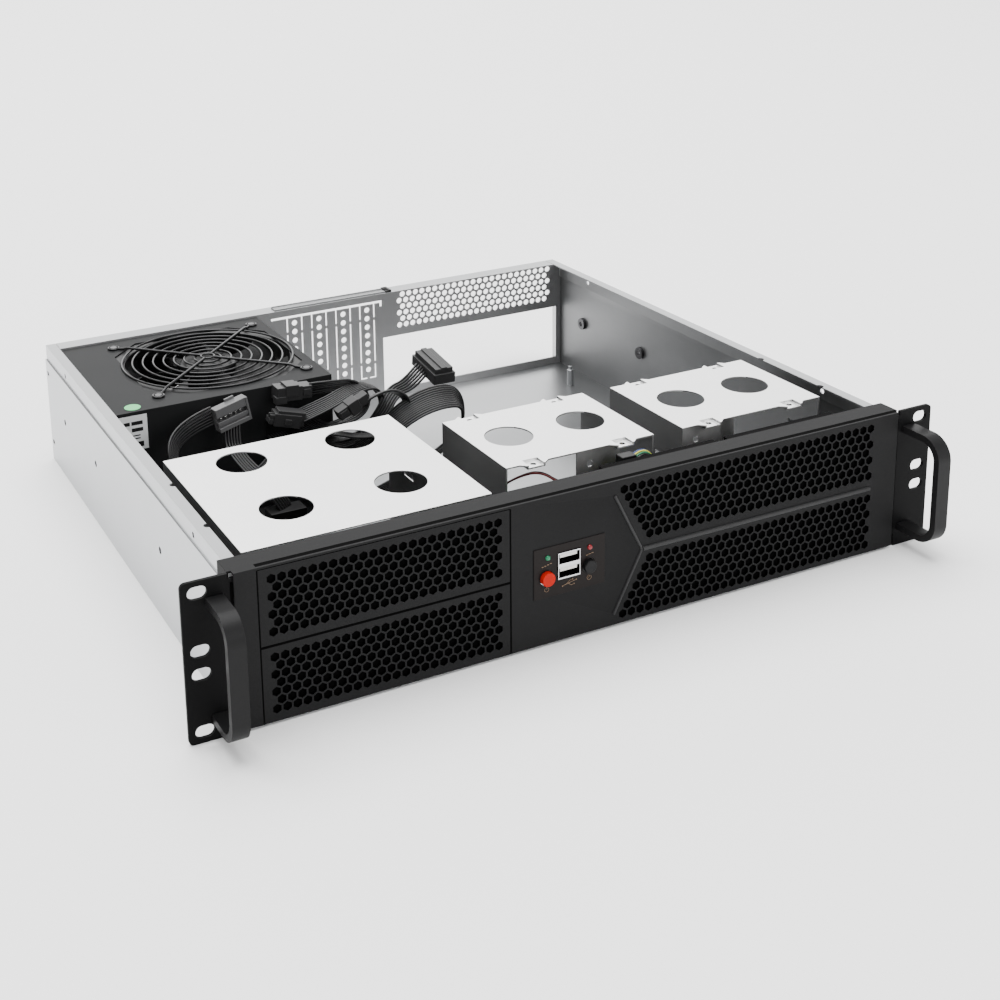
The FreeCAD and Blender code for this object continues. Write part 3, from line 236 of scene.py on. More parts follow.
def rolled_zinc():
    group, entry, way_out, place = effect("rolled_zinc", [("Cloud", 30.0), ("Grain", 2600.0)])
    cloud = noise(group, place, entry.outputs["Cloud"], detail=4.0, roughness=0.6)
    streak = noise(group, stretched(group, place, x=60.0, y=8.0, z=900.0), 1.0, detail=2.0)
    grain = noise(group, place, entry.outputs["Grain"], detail=2.0)
    flakes = group.nodes.new("ShaderNodeTexVoronoi")
    flakes.inputs["Scale"].default_value = 170.0
    group.links.new(place, flakes.inputs["Vector"])
    flake = group.nodes.new("ShaderNodeSeparateColor")
    group.links.new(flakes.outputs["Color"], flake.inputs["Color"])
    shade = mixed(group, [(cloud, 0.55), (streak, 0.2), (flake.outputs["Red"], 0.1), (grain, 0.15)])
    group.links.new(shade, way_out.inputs["Shade"])
    group.links.new(grain, way_out.inputs["Height"])
    return group


def surface(name, colour, effect_group, spread, rough, bump, grain=None, rough_spread=0.1, metal=0.0,
            depth=0.00002, shine=0.5):
    paint = bpy.data.materials.new(name)
    paint.use_nodes = True
    tree = paint.node_tree
    shader = tree.nodes["Principled BSDF"]
    shader.inputs["Metallic"].default_value = metal
    shader.inputs["Specular IOR Level"].default_value = shine
    pattern = tree.nodes.new("ShaderNodeGroup")
    pattern.node_tree = effect_group
    if grain:
        pattern.inputs["Size"].default_value = grain
    tone = tree.nodes.new("ShaderNodeMix")
    tone.data_type = "RGBA"
    tone.inputs[6].default_value = (*[c * (1 - spread) for c in colour], 1.0)
    tone.inputs[7].default_value = (*[min(1.0, c * (1 + spread)) for c in colour], 1.0)
    tree.links.new(pattern.outputs["Shade"], tone.inputs["Factor"])
    tree.links.new(tone.outputs[2], shader.inputs["Base Color"])
    gloss = tree.nodes.new("ShaderNodeMath")
    gloss.operation = "MULTIPLY_ADD"
    gloss.inputs[1].default_value = rough_spread
    gloss.inputs[2].default_value = rough - rough_spread / 2
    tree.links.new(pattern.outputs["Shade"], gloss.inputs[0])
    tree.links.new(gloss.outputs[0], shader.inputs["Roughness"])
    relief = tree.nodes.new("ShaderNodeBump")
    relief.inputs["Strength"].default_value = bump
    relief.inputs["Distance"].default_value = depth
    tree.links.new(pattern.outputs["Height"], relief.inputs["Height"])
    tree.links.new(relief.outputs["Normal"], shader.inputs["Normal"])
    return paint


rolled = rolled_zinc()
zinc = surface("zinc_sheet", (0.50, 0.51, 0.52), rolled, spread=0.12, rough=0.36, bump=0.25,
               rough_spread=0.12, metal=1.0)
# Painted shade: a darker, rougher zinc for the inner face of the right wall stands in for the shade inside
# the tub.
dark_zinc_and_painted_shade = surface("dark_zinc_and_painted_shade", (0.25, 0.253, 0.256), rolled, spread=0.14, rough=0.50, bump=0.25,
                      rough_spread=0.12, metal=1.0)
# Painted shade: a darker zinc for every face that points up, inside the tub and on the rear panel.
zinc_upward_painted_shade = surface("zinc_upward_painted_shade", (0.31, 0.315, 0.32), rolled, spread=0.12, rough=0.36, bump=0.25,
                     rough_spread=0.12, metal=1.0)
right_zone = 150.0 * mm
tub = rounded("chassis_tub", 0.4, zinc)
# Painted shade: the right wall's inner face gets the darker zinc.
repaint(tub, dark_zinc_and_painted_shade, lambda face: face.normal.x < -facing and face.center.x > right_zone)
# Painted shade: all faces of the tub that point up get the darker zinc.
repaint(tub, zinc_upward_painted_shade, lambda face: face.normal.z > facing)
nut_steel = surface("nut_steel", (0.07, 0.07, 0.073), rolled, spread=0.15, rough=0.35, bump=0.1, metal=0.95)
rounded("rail_nuts", 0.25, nut_steel)
rounded("board_standoff", 0.25, zinc)

# Rear panel: a second zinc-coated sheet with the vent, the card covers and the port window cut in it,
# riveted behind the walls. A thin bar and its black clamp lie on its top flange.
fine_corner = 65.0
dull_zinc = surface("rear_zinc", (0.52, 0.52, 0.525), rolled, spread=0.10, rough=0.4, bump=0.25,
                    rough_spread=0.12, metal=1.0)
rear_sheet = rounded("rear_panel", 0.2, dull_zinc, corner=fine_corner)
# Painted shade: the rear panel's faces that point up get the darker zinc.
repaint(rear_sheet, zinc_upward_painted_shade, lambda face: face.normal.z > facing)
# The retainer bar takes the same darker zinc.
rounded("card_retainer", 0.2, dark_zinc_and_painted_shade)


def moulded_grain():
    group, entry, way_out, place = effect("moulded_grain", [("Size", 2200.0)])
    grain = noise(group, place, entry.outputs["Size"], detail=3.0, roughness=0.6)
    cloud = noise(group, place, 25.0, detail=3.0)
    shade = mixed(group, [(grain, 0.6), (cloud, 0.4)])
    group.links.new(shade, way_out.inputs["Shade"])
    group.links.new(grain, way_out.inputs["Height"])
    return group


moulded = moulded_grain()
black_plastic = surface("black_plastic", (0.006, 0.006, 0.0062), moulded, spread=0.25, rough=0.42, bump=0.3,
                        grain=1800.0, rough_spread=0.12, shine=0.15)
rounded("retainer_clamp", 0.4, black_plastic)

# Power supply shell: two thin sheets, painted dark grey with a fine wrinkle, one folded over the other.
# The rear one carries the grille, the mains inlet and the rocker switch.
supply_paint = surface("supply_paint", (0.014, 0.0144, 0.0148), moulded, spread=0.35, rough=0.55, bump=0.6,
                       grain=1500.0, rough_spread=0.15, shine=0.07)
rounded("supply_base", 0.2, supply_paint, corner=fine_corner)
rounded("supply_cover", 0.3, supply_paint)
rounded("mains_inlet", 0.4, black_plastic)
rounded("rocker_bezel", 0.3, black_plastic)
rounded("supply_rocker", 0.5, black_plastic)

# Inside the supply: a green circuit board stands off the shell's floor and carries aluminium heat sinks,
# a transformer and capacitors, soldered to it.
board_green = surface("circuit_board", (0.012, 0.06, 0.025), moulded, spread=0.3, rough=0.35, bump=0.1,
                      grain=600.0)
sink_metal = surface("heat_sink", (0.55, 0.55, 0.56), rolled, spread=0.12, rough=0.4, bump=0.15, metal=0.9)
rounded("supply_board", 0.2, board_green)
rounded("supply_parts", 0.3, sink_metal)

# Supply fan: a black moulded frame under the cover, with a rotor of seven swept blades round its hub.
# The frame hangs on the same four screws as the wire guard.
rounded("supply_fan", 0.5, black_plastic)


def span(node):
    return [(corner - Vector((0.0, ear_face, 0.0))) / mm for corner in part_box(node)]


def bound(name, shapes, finish):
    sharp = math.radians(50.0)
    vertices = []
    faces = []
    for points, sides in shapes:
        start = len(vertices)
        vertices += points
        faces += [tuple(start + corner for corner in side) for side in sides]
    mesh = bpy.data.meshes.new(name)
    mesh.from_pydata(vertices, [], faces)
    mesh.shade_smooth()
    mesh.set_sharp_from_angle(angle=sharp)
    mesh.materials.append(finish)
    return link(bpy.data.objects.new(name, mesh))


def hub_shape(hub, thick):
    rim = 1.5
    top_hole = 0.05
    turns = 48
    profile = [(hub - rim, 0.0), (hub, 0.0), (hub, thick - rim)]
    for degrees in (22.5, 45.0, 67.5, 90.0):
        bend = math.radians(degrees)
        profile.append((hub - rim + rim * math.cos(bend), thick - rim + rim * math.sin(bend)))
    profile.append((top_hole, thick))
    points = []
    for radius, z in profile:
        for k in range(turns):
            angle = 2 * math.pi * k / turns
            points.append(Vector((radius * math.cos(angle), radius * math.sin(angle), z)))
    faces = []
    for row in range(len(profile) - 1):
        for k in range(turns):
            after = (k + 1) % turns
            faces.append((row * turns + k, row * turns + after, (row + 1) * turns + after,
                          (row + 1) * turns + k))
    return points, faces


def blade_shape(start, hub, tip, thick, share):
    root_inset = 0.5
    half_sheet = 0.5
    root_width = 0.8
    narrowing = 0.1
    sweep = 0.32
    lowest = 0.1
    climb = 0.8
    belly = 0.06
    steps = 8
    row = steps + 1
    layer = row * row
    points = []
    for side in (half_sheet, -half_sheet):
        for i in range(row):
            out = i / steps
            radius = hub - root_inset + (tip - hub + root_inset) * out
            for k in range(row):
                along = k / steps
                width = share * (root_width - narrowing * out)
                angle = start + sweep * out * out + (along - 0.5) * width
                rise = lowest + climb * along + belly * math.sin(math.pi * along)
                points.append(Vector((radius * math.cos(angle), radius * math.sin(angle),
                                      thick * rise + side)))
    cells = []
    for i in range(steps):
        for k in range(steps):
            a = i * row + k
            cells.append((a, a + row, a + row + 1, a + 1))
            cells.append((layer + a, layer + a + 1, layer + a + row + 1, layer + a + row))
    border = ([(0, k) for k in range(steps)] + [(i, steps) for i in range(steps)]
              + [(steps, steps - k) for k in range(steps)] + [(steps - i, 0) for i in range(steps)])
    edge = [i * row + k for i, k in border]
    for a, b in zip(edge, edge[1:] + edge[:1]):
        cells.append((a, b, layer + b, layer + a))
    return points, cells


def impeller(node, centre, turn, hub, tip, thick, blades=7):
    place = Matrix.Translation(centre) @ turn
    share = 2 * math.pi / blades
    shapes = [hub_shape(hub, thick)]
    for blade in range(blades):
        shapes.append(blade_shape(2 * math.pi * blade / blades, hub, tip, thick, share))
    placed = [([place @ (point * mm) for point in points], faces) for points, faces in shapes]
    stand_for(bound(node + "_form", placed, black_plastic), node)


fan_low, fan_high = span("supply_fan")
fan_x = (fan_low.x + fan_high.x) / 2
fan_depth = (fan_low.y + fan_high.y) / 2
rotor_low, rotor_high = span("supply_rotor")
rotor_thick = rotor_high.z - rotor_low.z
impeller("supply_rotor", at(fan_x, fan_depth, rotor_low.z), Matrix.Identity(4), hub=20.0, tip=56.2,
         thick=rotor_thick)

# Wire guard: nested rings of dark plated wire, spot-welded under four bent spokes. An eye at the end of each
# spoke takes the screw that holds the guard and the fan to the cover.


def tube(line, radius, sides=8, closed=False):
    nearly_upright = 0.98
    points = []
    up = Vector((0.0, 0.0, 1.0))
    count = len(line)
    for index, here in enumerate(line):
        after = line[(index + 1) % count] if closed else line[min(index + 1, count - 1)]
        before = line[index - 1] if closed else line[max(index - 1, 0)]
        way = (after - before).normalized()
        if abs(way.dot(up)) > nearly_upright:
            up = way.orthogonal().normalized()
        across = way.cross(up).normalized()
        up = across.cross(way)
        for k in range(sides):
            angle = 2 * math.pi * k / sides
            points.append(here + (across * math.cos(angle) + up * math.sin(angle)) * radius)
    faces = []
    rings = count if closed else count - 1
    for index in range(rings):
        base = index * sides
        ahead = (index + 1) % count * sides
        for k in range(sides):
            after = (k + 1) % sides
            faces.append((base + k, base + after, ahead + after, ahead + k))
    if not closed:
        faces.append(tuple(range(sides))[::-1])
        faces.append(tuple(range((count - 1) * sides, count * sides)))
    return points, faces


def flat_ring(x, depth, z, radius, count=72):
    ring = []
    for k in range(count):
        angle = 2 * math.pi * k / count
        ring.append(at(x + radius * math.cos(angle), depth + radius * math.sin(angle), z))
    return ring


guard_low = 86.65
guard_high = 87.9
guard_wire = 0.75
spoke_wire = 0.95
ring_count = 8
outer_ring = 59.3
ring_step = 7.15
middle_ring = 4.6
eye_reach = 74.2
eye_ring = 3.6
wire_metal = surface("guard_wire", (0.035, 0.035, 0.036), rolled, spread=0.2, rough=0.3, bump=0.1,
                     metal=0.9)
spoke = [(middle_ring, guard_high), (30.0, guard_high), (61.0, guard_high), (63.5, guard_high - 0.2),
         (66.0, guard_low + 0.2), (68.5, guard_low), (70.6, guard_low)]
wires = []
for index in range(ring_count):
    ring = flat_ring(fan_x, fan_depth, guard_low, outer_ring - ring_step * index)
    wires.append(tube(ring, guard_wire * mm, closed=True))
wires.append(tube(flat_ring(fan_x, fan_depth, guard_high, middle_ring, 32), guard_wire * mm, closed=True))
for degrees in (45.0, 135.0, 225.0, 315.0):
    x = math.cos(math.radians(degrees))
    y = math.sin(math.radians(degrees))
    line = [at(fan_x + x * reach, fan_depth + y * reach, z) for reach, z in spoke]
    wires.append(tube(line, spoke_wire * mm))
    eye = flat_ring(fan_x + x * eye_reach, fan_depth + y * eye_reach, guard_low, eye_ring, 24)
    wires.append(tube(eye, guard_wire * mm, closed=True))
stand_for(bound("fan_guard_form", wires, wire_metal), "fan_guard")
rounded("supply_screws", 0.3, wire_metal)
rounded("cable_bush", 0.5, black_plastic)

# Supply labels: a paper label on the supply's inner end and a green seal on its cover, both stuck on.
# The label's print is a few dark bars, laid a hair above the paper.
film_white = surface("label_film", (0.75, 0.76, 0.76), moulded, spread=0.1, rough=0.4, bump=0.05,
                     grain=500.0)
film_green = surface("green_film", (0.02, 0.42, 0.10), moulded, spread=0.15, rough=0.35, bump=0.05,
                     grain=500.0)
dark_ink = surface("label_ink", (0.01, 0.01, 0.01), moulded, spread=0.1, rough=0.5, bump=0.02, grain=500.0,
                   shine=0.2)
seal_level = 85.5 * mm
labels = rounded("supply_labels", 0.05, film_white)
repaint(labels, film_green, lambda face: face.center.z > seal_level)


def brick(x0, x1, y0, y1, z0, z1):
    corners = [Vector((x, y, z)) for z in (z0, z1) for x, y in ((x0, y0), (x1, y0), (x1, y1), (x0, y1))]
    sides = [(3, 2, 1, 0), (4, 5, 6, 7), (0, 1, 5, 4), (1, 2, 6, 5), (2, 3, 7, 6), (3, 0, 4, 7)]
    return corners, sides


label_face = span("supply_labels")[0].y
ink_front = label_face - 0.04
ink_back = label_face + 0.1
bars = []
for x0, x1, z0, z1 in ((-195.5, -188.0, 77.0, 79.5), (-202.0, -196.5, 77.0, 79.5),
                       (-195.5, -188.0, 72.5, 75.0), (-202.5, -190.0, 69.5, 70.3),
                       (-202.5, -190.0, 67.5, 68.3), (-195.5, -188.0, 62.0, 65.5)):
    corners, sides = brick(x0, x1, ink_front, ink_back, z0, z1)
    bars.append(([at(*corner) for corner in corners], sides))
label_print = bound("label_print", bars, dark_ink)
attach(label_print, "case")

# Plugs: moulded housings at the ends of the leads, each with its steps, latch and cable boss. The comb plug
# is grey with a row of bare contacts, and the others are black.


def plug(name, node, middle, turns, bricks, finish, edge=0.35):
    place = Matrix.Translation(at(*middle))
    for degrees, axis in turns:
        place = place @ Matrix.Rotation(math.radians(degrees), 4, axis)
    shapes = [([place @ (corner * mm) for corner in corners], sides)
              for corners, sides in (brick(*sizes) for sizes in bricks)]
    piece = bound(name, shapes, finish)
    soft = piece.modifiers.new("edge", "BEVEL")
    soft.width = edge * mm
    soft.segments = 2
    soft.harden_normals = True
    if node:
        stand_for(piece, node)
    else:
        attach(piece, "case")
    return piece


plug_plastic = surface("plug_plastic", (0.020, 0.020, 0.0205), moulded, spread=0.25, rough=0.4, bump=0.2,
                       grain=1500.0, shine=0.3)
grey_plastic = surface("grey_plastic", (0.10, 0.10, 0.102), moulded, spread=0.25, rough=0.4, bump=0.2,
                       grain=1500.0, shine=0.3)
contact_metal = surface("contact_metal", (0.80, 0.80, 0.78), rolled, spread=0.1, rough=0.25, bump=0.05,
                        metal=1.0)
comb_place = (-133.0, 222.0, 78.0)
comb_turns = [(-11.0, "Y"), (8.0, "Z")]
contact_pitch = 3.7
plug(
    "comb_plug", "plug_comb", comb_place, comb_turns,
    [(-11.4, 11, -3, 4, 1.6, 7.6), (-11.4, 11, 0.5, 4, -1.6, 2), (-11.4, 11, -3, 4, -4.0, -1.4),
     (-11.4, 11, -2.0, 4, -5.6, -3.9), (-11.4, 11, -3.6, 4, -8.5, -5.5), (10.6, 12.2, -3.6, 4, -8.5, 7.6),
     (-1, 6, 3, 4.6, 5, 9.4)], grey_plastic)
contacts = [(-9.3 + contact_pitch * k, -7.9 + contact_pitch * k, -2.2, 1.0, -0.9, 1.0) for k in range(5)]
comb_contacts = plug("comb_contacts", None, comb_place, comb_turns, contacts, contact_metal, edge=0.1)
plug(
    "block_plug", "plug_block", (-88.0, 228.7, 82.0), [(4.0, "Y")],
    [(-12, 6, -5.5, 5.5, -4.5, 5.0), (-6, 3, -6.2, 5, -1.5, 6.3), (5, 13, -5.0, 5.0, -4.0, 4.4),
     (-13, -5, -6.0, 0, -6.0, -1.0), (6.5, 12, -5.6, -4.6, -2.0, 2.5)], plug_plastic)
plug(
    "flat_plug", "plug_flat", (-98.0, 212.0, 71.7), [(14.0, "Y"), (-8.0, "Z")],
    [(-10, 8, -6, 6, -5, 3.4), (-8, 10.5, -4.8, 4.8, -4, 5.4), (-3, 1.5, -6.8, 0, -3.5, 0.5),
     (-13, -9.5, -5, 5, -4.2, -0.8), (-13, -9.5, -5, -2.8, -0.8, 2.2), (-13, -9.5, -1, 1.2, -0.8, 2.2)],
    plug_plastic)
plug(
    "small_plug", "plug_small", (-58.5, 196.5, 78.0), [(-24.0, "Y")],
    [(-12, -3, -4, 4, -3.4, 3.4), (-4, 4, -4.8, 4.8, -4.2, 4.2), (3.4, 11.5, -3.8, 3.8, -3.2, 3.2),
     (-11, -5, -4.4, 0, -2, 2)], plug_plastic)
plug(
    "long_plug", "plug_connector", (18.0, 229.0, 81.0), [(8.0, "X")],
    [(-8, 8, -17, 17, -6, 1.6), (-6.6, 6.6, -15.6, 15.6, 1.4, 5.0), (-2.2, 2.2, -15.8, 15.8, 4.8, 5.8)],
    plug_plastic)
for node in ("plug_wide", "plug_low", "plug_panel", "plug_fan"):
    rounded(node, 0.5, black_plastic)

# Leads: flat bands of round stranded wires in black sheaths. They leave the bush in the supply's inner end,
# turn over towards the cage and end in the plugs. Two thin coloured leads run from a fan and from the
# control board.


def middle_line(points):
    curve = bpy.data.curves.new("route", "CURVE")
    curve.dimensions = "3D"
    spline = curve.splines.new("NURBS")
    spline.points.add(len(points) - 1)
    for target, point in zip(spline.points, points):
        target.co = (*at(*point), 1.0)
    spline.order_u = 3
    spline.use_endpoint_u = True
    spline.resolution_u = 8
    holder = bpy.data.objects.new("route", curve)
    mesh = bpy.data.meshes.new_from_object(holder)
    line = [vertex.co.copy() for vertex in mesh.vertices]
    bpy.data.objects.remove(holder)
    bpy.data.meshes.remove(mesh)
    bpy.data.curves.remove(curve)
    return line


def beside(line, across, twist, offset):
    sway = 0.3
    sway_turns = 9.0
    sway_shift = 40.0
    moved = []
    total = sum((b - a).length for a, b in zip(line, line[1:]))
    run = 0.0
    for index, here in enumerate(line):
        way = (line[min(index + 1, len(line) - 1)] - line[max(index - 1, 0)]).normalized()
        across = (across - way * across.dot(way)).normalized()
        if index:
            run += (here - line[index - 1]).length
        broad = Matrix.Rotation(math.radians(twist) * run / total, 3, way) @ across
        lift = sway * math.sin(sway_turns * run / total + sway_shift * offset)
        moved.append(here + broad * (offset * mm) + way.cross(broad) * (lift * mm))
    return moved


def band(name, node, points, wires, pitch=1.9, across=(1, 0, 0), twist=0.0, colours=()):
    wire_share = 0.47
    line = middle_line(points)
    shapes = []
    for index in range(wires):
        offset = (index - (wires - 1) / 2) * pitch
        shapes.append(tube(beside(line, Vector(across), twist, offset), pitch * wire_share * mm))
    piece = bound(name, shapes, sheath)
    faces_each = len(shapes[0][1])
    for index, colour in enumerate(colours):
        piece.data.materials.append(colour)
        for polygon in piece.data.polygons[index * faces_each:(index + 1) * faces_each]:
            polygon.material_index = index + 1
    stand_for(piece, node)


def sheath_of(name, colour):
    return surface(name, colour, moulded, spread=0.3, rough=0.4, bump=0.1, grain=900.0)


sheath = surface("lead_sheath", (0.006, 0.006, 0.0065), moulded, spread=0.3, rough=0.34, bump=0.1,
                 grain=900.0, shine=0.3)
red_sheath = sheath_of("red_sheath", (0.10, 0.004, 0.004))
blue_sheath = sheath_of("blue_sheath", (0.01, 0.03, 0.16))
yellow_sheath = sheath_of("yellow_sheath", (0.45, 0.42, 0.04))
green_sheath = sheath_of("green_sheath", (0.01, 0.14, 0.06))
exit_depth = (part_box("cable_bush")[0].y - ear_face) / mm
band("band_wide", "lead_wide",
     [(-88, exit_depth, 44), (-88, 216, 44), (-66, 201, 36), (-46, 187, 54), (-30, 182, 71), (-8, 180, 79),
      (13, 180, 77), (14, 179, 54), (-4, 176, 44), (-26, 172, 34), (-50, 167, 27), (-70, 165, 22)],
     wires=12, twist=60.0)
band("band_connector", "lead_connector",
     [(-76, exit_depth, 44), (-76, 219, 44), (-52, 208, 46), (-34, 205, 63), (-22, 211, 76), (-6, 218, 75),
      (10, 230, 80)],
     wires=6, twist=70.0)
band("band_arc", "lead_arc",
     [(-64, exit_depth, 44), (-64, 220, 44), (-42, 213, 50), (-24, 217, 64), (-32, 221, 80), (-52, 213, 82),
      (-71, 208, 77), (-88, 212, 71)],
     wires=8)
band("band_block", "lead_block",
     [(-72, exit_depth, 56), (-72, 220, 56), (-60, 214, 59), (-44, 218, 62), (-38, 222, 70), (-45, 225, 81),
      (-61, 226, 82), (-75, 229, 81)],
     wires=6, pitch=2.0, twist=35.0)
band("band_loop", "lead_loop",
     [(-98, exit_depth, 52), (-98, 215, 52), (-118, 201, 42), (-143, 191, 38), (-167, 190, 46),
      (-182, 200, 62), (-172, 215, 76), (-146, 222, 79)],
     wires=7)
band("band_comb", "lead_comb",
     [(-133, 221, 70), (-135, 217, 60), (-135, 206, 55), (-130, 190, 48), (-123, 177, 41), (-118, 171, 30)],
     wires=6)
band("band_small", "lead_small",
     [(-82, exit_depth, 56), (-82, 218, 56), (-72, 201, 60), (-54, 190, 57), (-38, 188, 59), (-26, 189, 64),
      (-20, 191, 76), (-29, 194, 84), (-40, 196, 83), (-48, 196.5, 79.5)],
     wires=5)
band("fan_wires", "fan_lead",
     [(25, 32.4, 70), (13, 39, 70), (3, 43, 71), (-8, 48, 80), (-17, 60, 73), (-21, 74, 60), (-21, 90, 46)],
     wires=2, pitch=1.4, colours=(red_sheath,))
band("panel_wires", "panel_lead",
     [(-3.4, 14.6, 38), (5, 25, 42), (20, 36, 47), (36, 38.5, 50), (54, 38.5, 54), (67, 38, 62),
      (67, 38, 73), (57, 39, 84), (49, 38, 79)],
     wires=4, pitch=1.3, across=(0, 0, 1), twist=60.0,
     colours=(blue_sheath, yellow_sheath, green_sheath))

# Drive cage and brackets: bright steel sheet folded into open boxes, with round finger holes in their tops
# and pressed ears. They stand on the tub's floor and are screwed to it. Their sides are painted darker as
# painted shade.
shelf_metal = surface("shelf_steel", (0.84, 0.84, 0.835), rolled, spread=0.05, rough=0.42, bump=0.2,
                      metal=1.0)
shelf_side_painted_shade = surface("shelf_side_painted_shade", (0.26, 0.26, 0.262), rolled, spread=0.10, rough=0.42, bump=0.2,
                     metal=1.0)
for node in ("drive_cage", "bracket_middle", "bracket_right"):
    shelf = rounded(node, 0.35, shelf_metal)
    # Painted shade: faces that point sideways get the darker steel.
    repaint(shelf, shelf_side_painted_shade, lambda face: abs(face.normal.x) > facing)

# Intake fans: two 80 mm fans with moulded frames, screwed to a black steel plate behind the right mesh. Each
# rotor turns on an axis that points to the front.


def powder_grain():
    fleck_ratio = 2.3
    group, entry, way_out, place = effect("powder_grain", [("Size", 2400.0)])
    grain = noise(group, place, entry.outputs["Size"], detail=2.0, roughness=0.55)
    fleck_size = arithmetic(group, "MULTIPLY", entry.outputs["Size"], fleck_ratio)
    fleck = noise(group, place, fleck_size, detail=1.0)
    shade = mixed(group, [(grain, 0.6), (fleck, 0.4)])
    group.links.new(shade, way_out.inputs["Shade"])
    group.links.new(grain, way_out.inputs["Height"])
    return group


powder = powder_grain()
fan_black = surface("fan_black", (0.0025, 0.0025, 0.0026), powder, spread=0.3, rough=0.7, bump=0.3,
                    grain=2000.0, shine=0.02)
rounded("fan_plate", 0.2, fan_black)
rounded("intake_fans", 0.4, fan_black)
upright = Matrix.Rotation(math.radians(90.0), 4, "X")
fan_half = 40.0
fans_low, fans_high = span("intake_fans")
fans_level = (fans_low.z + fans_high.z) / 2
for node, x in (("intake_rotor_left", fans_low.x + fan_half),
                ("intake_rotor_right", fans_high.x - fan_half)):
    rotor_low, rotor_high = span(node)
    impeller(node, at(x, rotor_high.y, fans_level), upright, hub=17.0, tip=36.7,
             thick=rotor_high.y - rotor_low.y)

# Front frame and bay covers: black powder-coated sheet with punched hexagons and pressed ribs. The walls of
# the punched holes and the covers' edges are painted near-black as painted shade; black filter foam lies
# behind the holes.
raised = 0.00004
black_powder = surface("black_powder", (0.013, 0.013, 0.0133), powder, spread=0.45, rough=0.55, bump=0.7,
                       grain=2000.0, rough_spread=0.18, depth=raised, shine=0.05)
foam_black_and_painted_shade = surface("foam_black_and_painted_shade", (0.0012, 0.0012, 0.0012), powder, spread=0.4, rough=0.8, bump=0.3,
                     grain=2000.0, shine=0.02)
sideways = 0.5
hole_side = 8.0 * mm * mm
frame_sheet = rounded("front_frame", 0.2, black_powder, corner=fine_corner)
# Painted shade: the small sideways faces of the holes are painted near-black.
repaint(frame_sheet, foam_black_and_painted_shade, lambda face: abs(face.normal.y) < sideways and face.area < hole_side)
for node in ("bay_cover_lower", "bay_cover_upper"):
    cover = rounded(node, 0.2, black_powder, corner=fine_corner)
    # Painted shade: the covers' sideways faces, in the gaps round them, are painted near-black.
    repaint(cover, foam_black_and_painted_shade, lambda face: abs(face.normal.y) < sideways)
rounded("mesh_filters", 0.3, foam_black_and_painted_shade)

# Seam in the front frame's top: a painted shadow along the flange, where the face is folded back. The
# sheet's upper side is split there, and the strip is painted near-black as painted shade.
frame_low, frame_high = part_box("front_frame")
top_level = frame_high.z - 0.3 * mm
seam_near = frame_low.y + 2.0 * mm
seam_far = frame_low.y + 5.2 * mm
seam_left = -201.6 * mm
split = bmesh.new()
split.from_mesh(frame_sheet.data)
for way, place in (((0, 1, 0), seam_near), ((0, 1, 0), seam_far), ((1, 0, 0), seam_left)):
    top = [face for face in split.faces
           if face.normal.z > facing and face.calc_center_median().z > top_level]
    parts = {item for face in top for item in (*face.verts, *face.edges)}
    spot = [place * step for step in way]
    bmesh.ops.bisect_plane(split, geom=[*top, *parts], plane_co=spot, plane_no=way)
split.to_mesh(frame_sheet.data)
split.free()
# Painted shadow: the strip between the cuts is painted near-black.
repaint(frame_sheet, foam_black_and_painted_shade, lambda face: face.normal.z > facing and face.center.z > top_level
        and seam_near < face.center.y < seam_far and face.center.x > seam_left)

# Ribs and gaps: smooth beads on the pressed ribs of the frame, and thin near-black strips of painted shadow
# where the bay covers meet the frame and where the ears meet its ends.
# Painted highlight: the beads are painted a little lighter than the frame.
bead_highlight_paint = surface("bead_highlight_paint", (0.022, 0.022, 0.0225), powder, spread=0.35, rough=0.45, bump=0.5,
                     grain=2000.0, rough_spread=0.15, depth=raised, shine=0.2)
bead_depth = -1.9
rib_corner = (28.0, 44.2)
beads = []
for rib, width in (([(9.6, 80.5), rib_corner], 0.8), ([(9.6, 8.4), rib_corner], 0.8),
                   ([(28.6, 44.2), (193.4, 44.2)], 1.3)):
    beads.append(tube([at(x, bead_depth, z) for x, z in rib], width * mm, 12))
rib_beads = bound("rib_beads", beads, bead_highlight_paint)
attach(rib_beads, "case")
upper_low, upper_high = span("bay_cover_upper")
lower_low, lower_high = span("bay_cover_lower")
gap_front = upper_low.y - 0.04
gap_back = upper_low.y + 0.3
# Painted shadow: thin near-black strips in the gaps round the bay covers.
bay_gap_shadows = plug("bay_gap_shadows", None, (0.0, 0.0, 0.0), [],
                [(upper_low.x - 0.7, upper_low.x + 0.1, gap_front, gap_back, lower_low.z, upper_high.z),
                 (upper_high.x - 0.1, upper_high.x + 0.9, gap_front, gap_back, lower_low.z, upper_high.z),
                 (upper_low.x, upper_high.x, gap_front, gap_back, lower_high.z - 0.2, upper_low.z + 0.2)],
                foam_black_and_painted_shade, edge=0.03)
end_inner = 214.1
end_outer = 215.3
# Painted shadow: thin near-black strips where the ears meet the frame's ends.
end_gap_shadows = plug("end_gap_shadows", None, (0.0, 0.0, 0.0), [],
                [(end_inner, end_outer, -0.5, -0.1, 2.2, 84.0),
                 (-end_outer, -end_inner, -0.5, -0.1, 2.2, 84.0)],
                foam_black_and_painted_shade, edge=0.05)

# Control plate: a dark printed film, stuck on the frame's face. Its marks are thin strokes of brown ink: two
# switch signs, a branching line, and short bars by the lamps.
plate_film = surface("plate_film", (0.008, 0.006, 0.0055), moulded, spread=0.2, rough=0.35, bump=0.1,
                     grain=900.0, shine=0.1)
mark_ink = surface("mark_ink", (0.16, 0.105, 0.065), moulded, spread=0.2, rough=0.4, bump=0.05, grain=900.0,
                   shine=0.2)
rounded("control_plate", 0.1, plate_film)
plate_front = span("control_plate")[0].y - 0.05


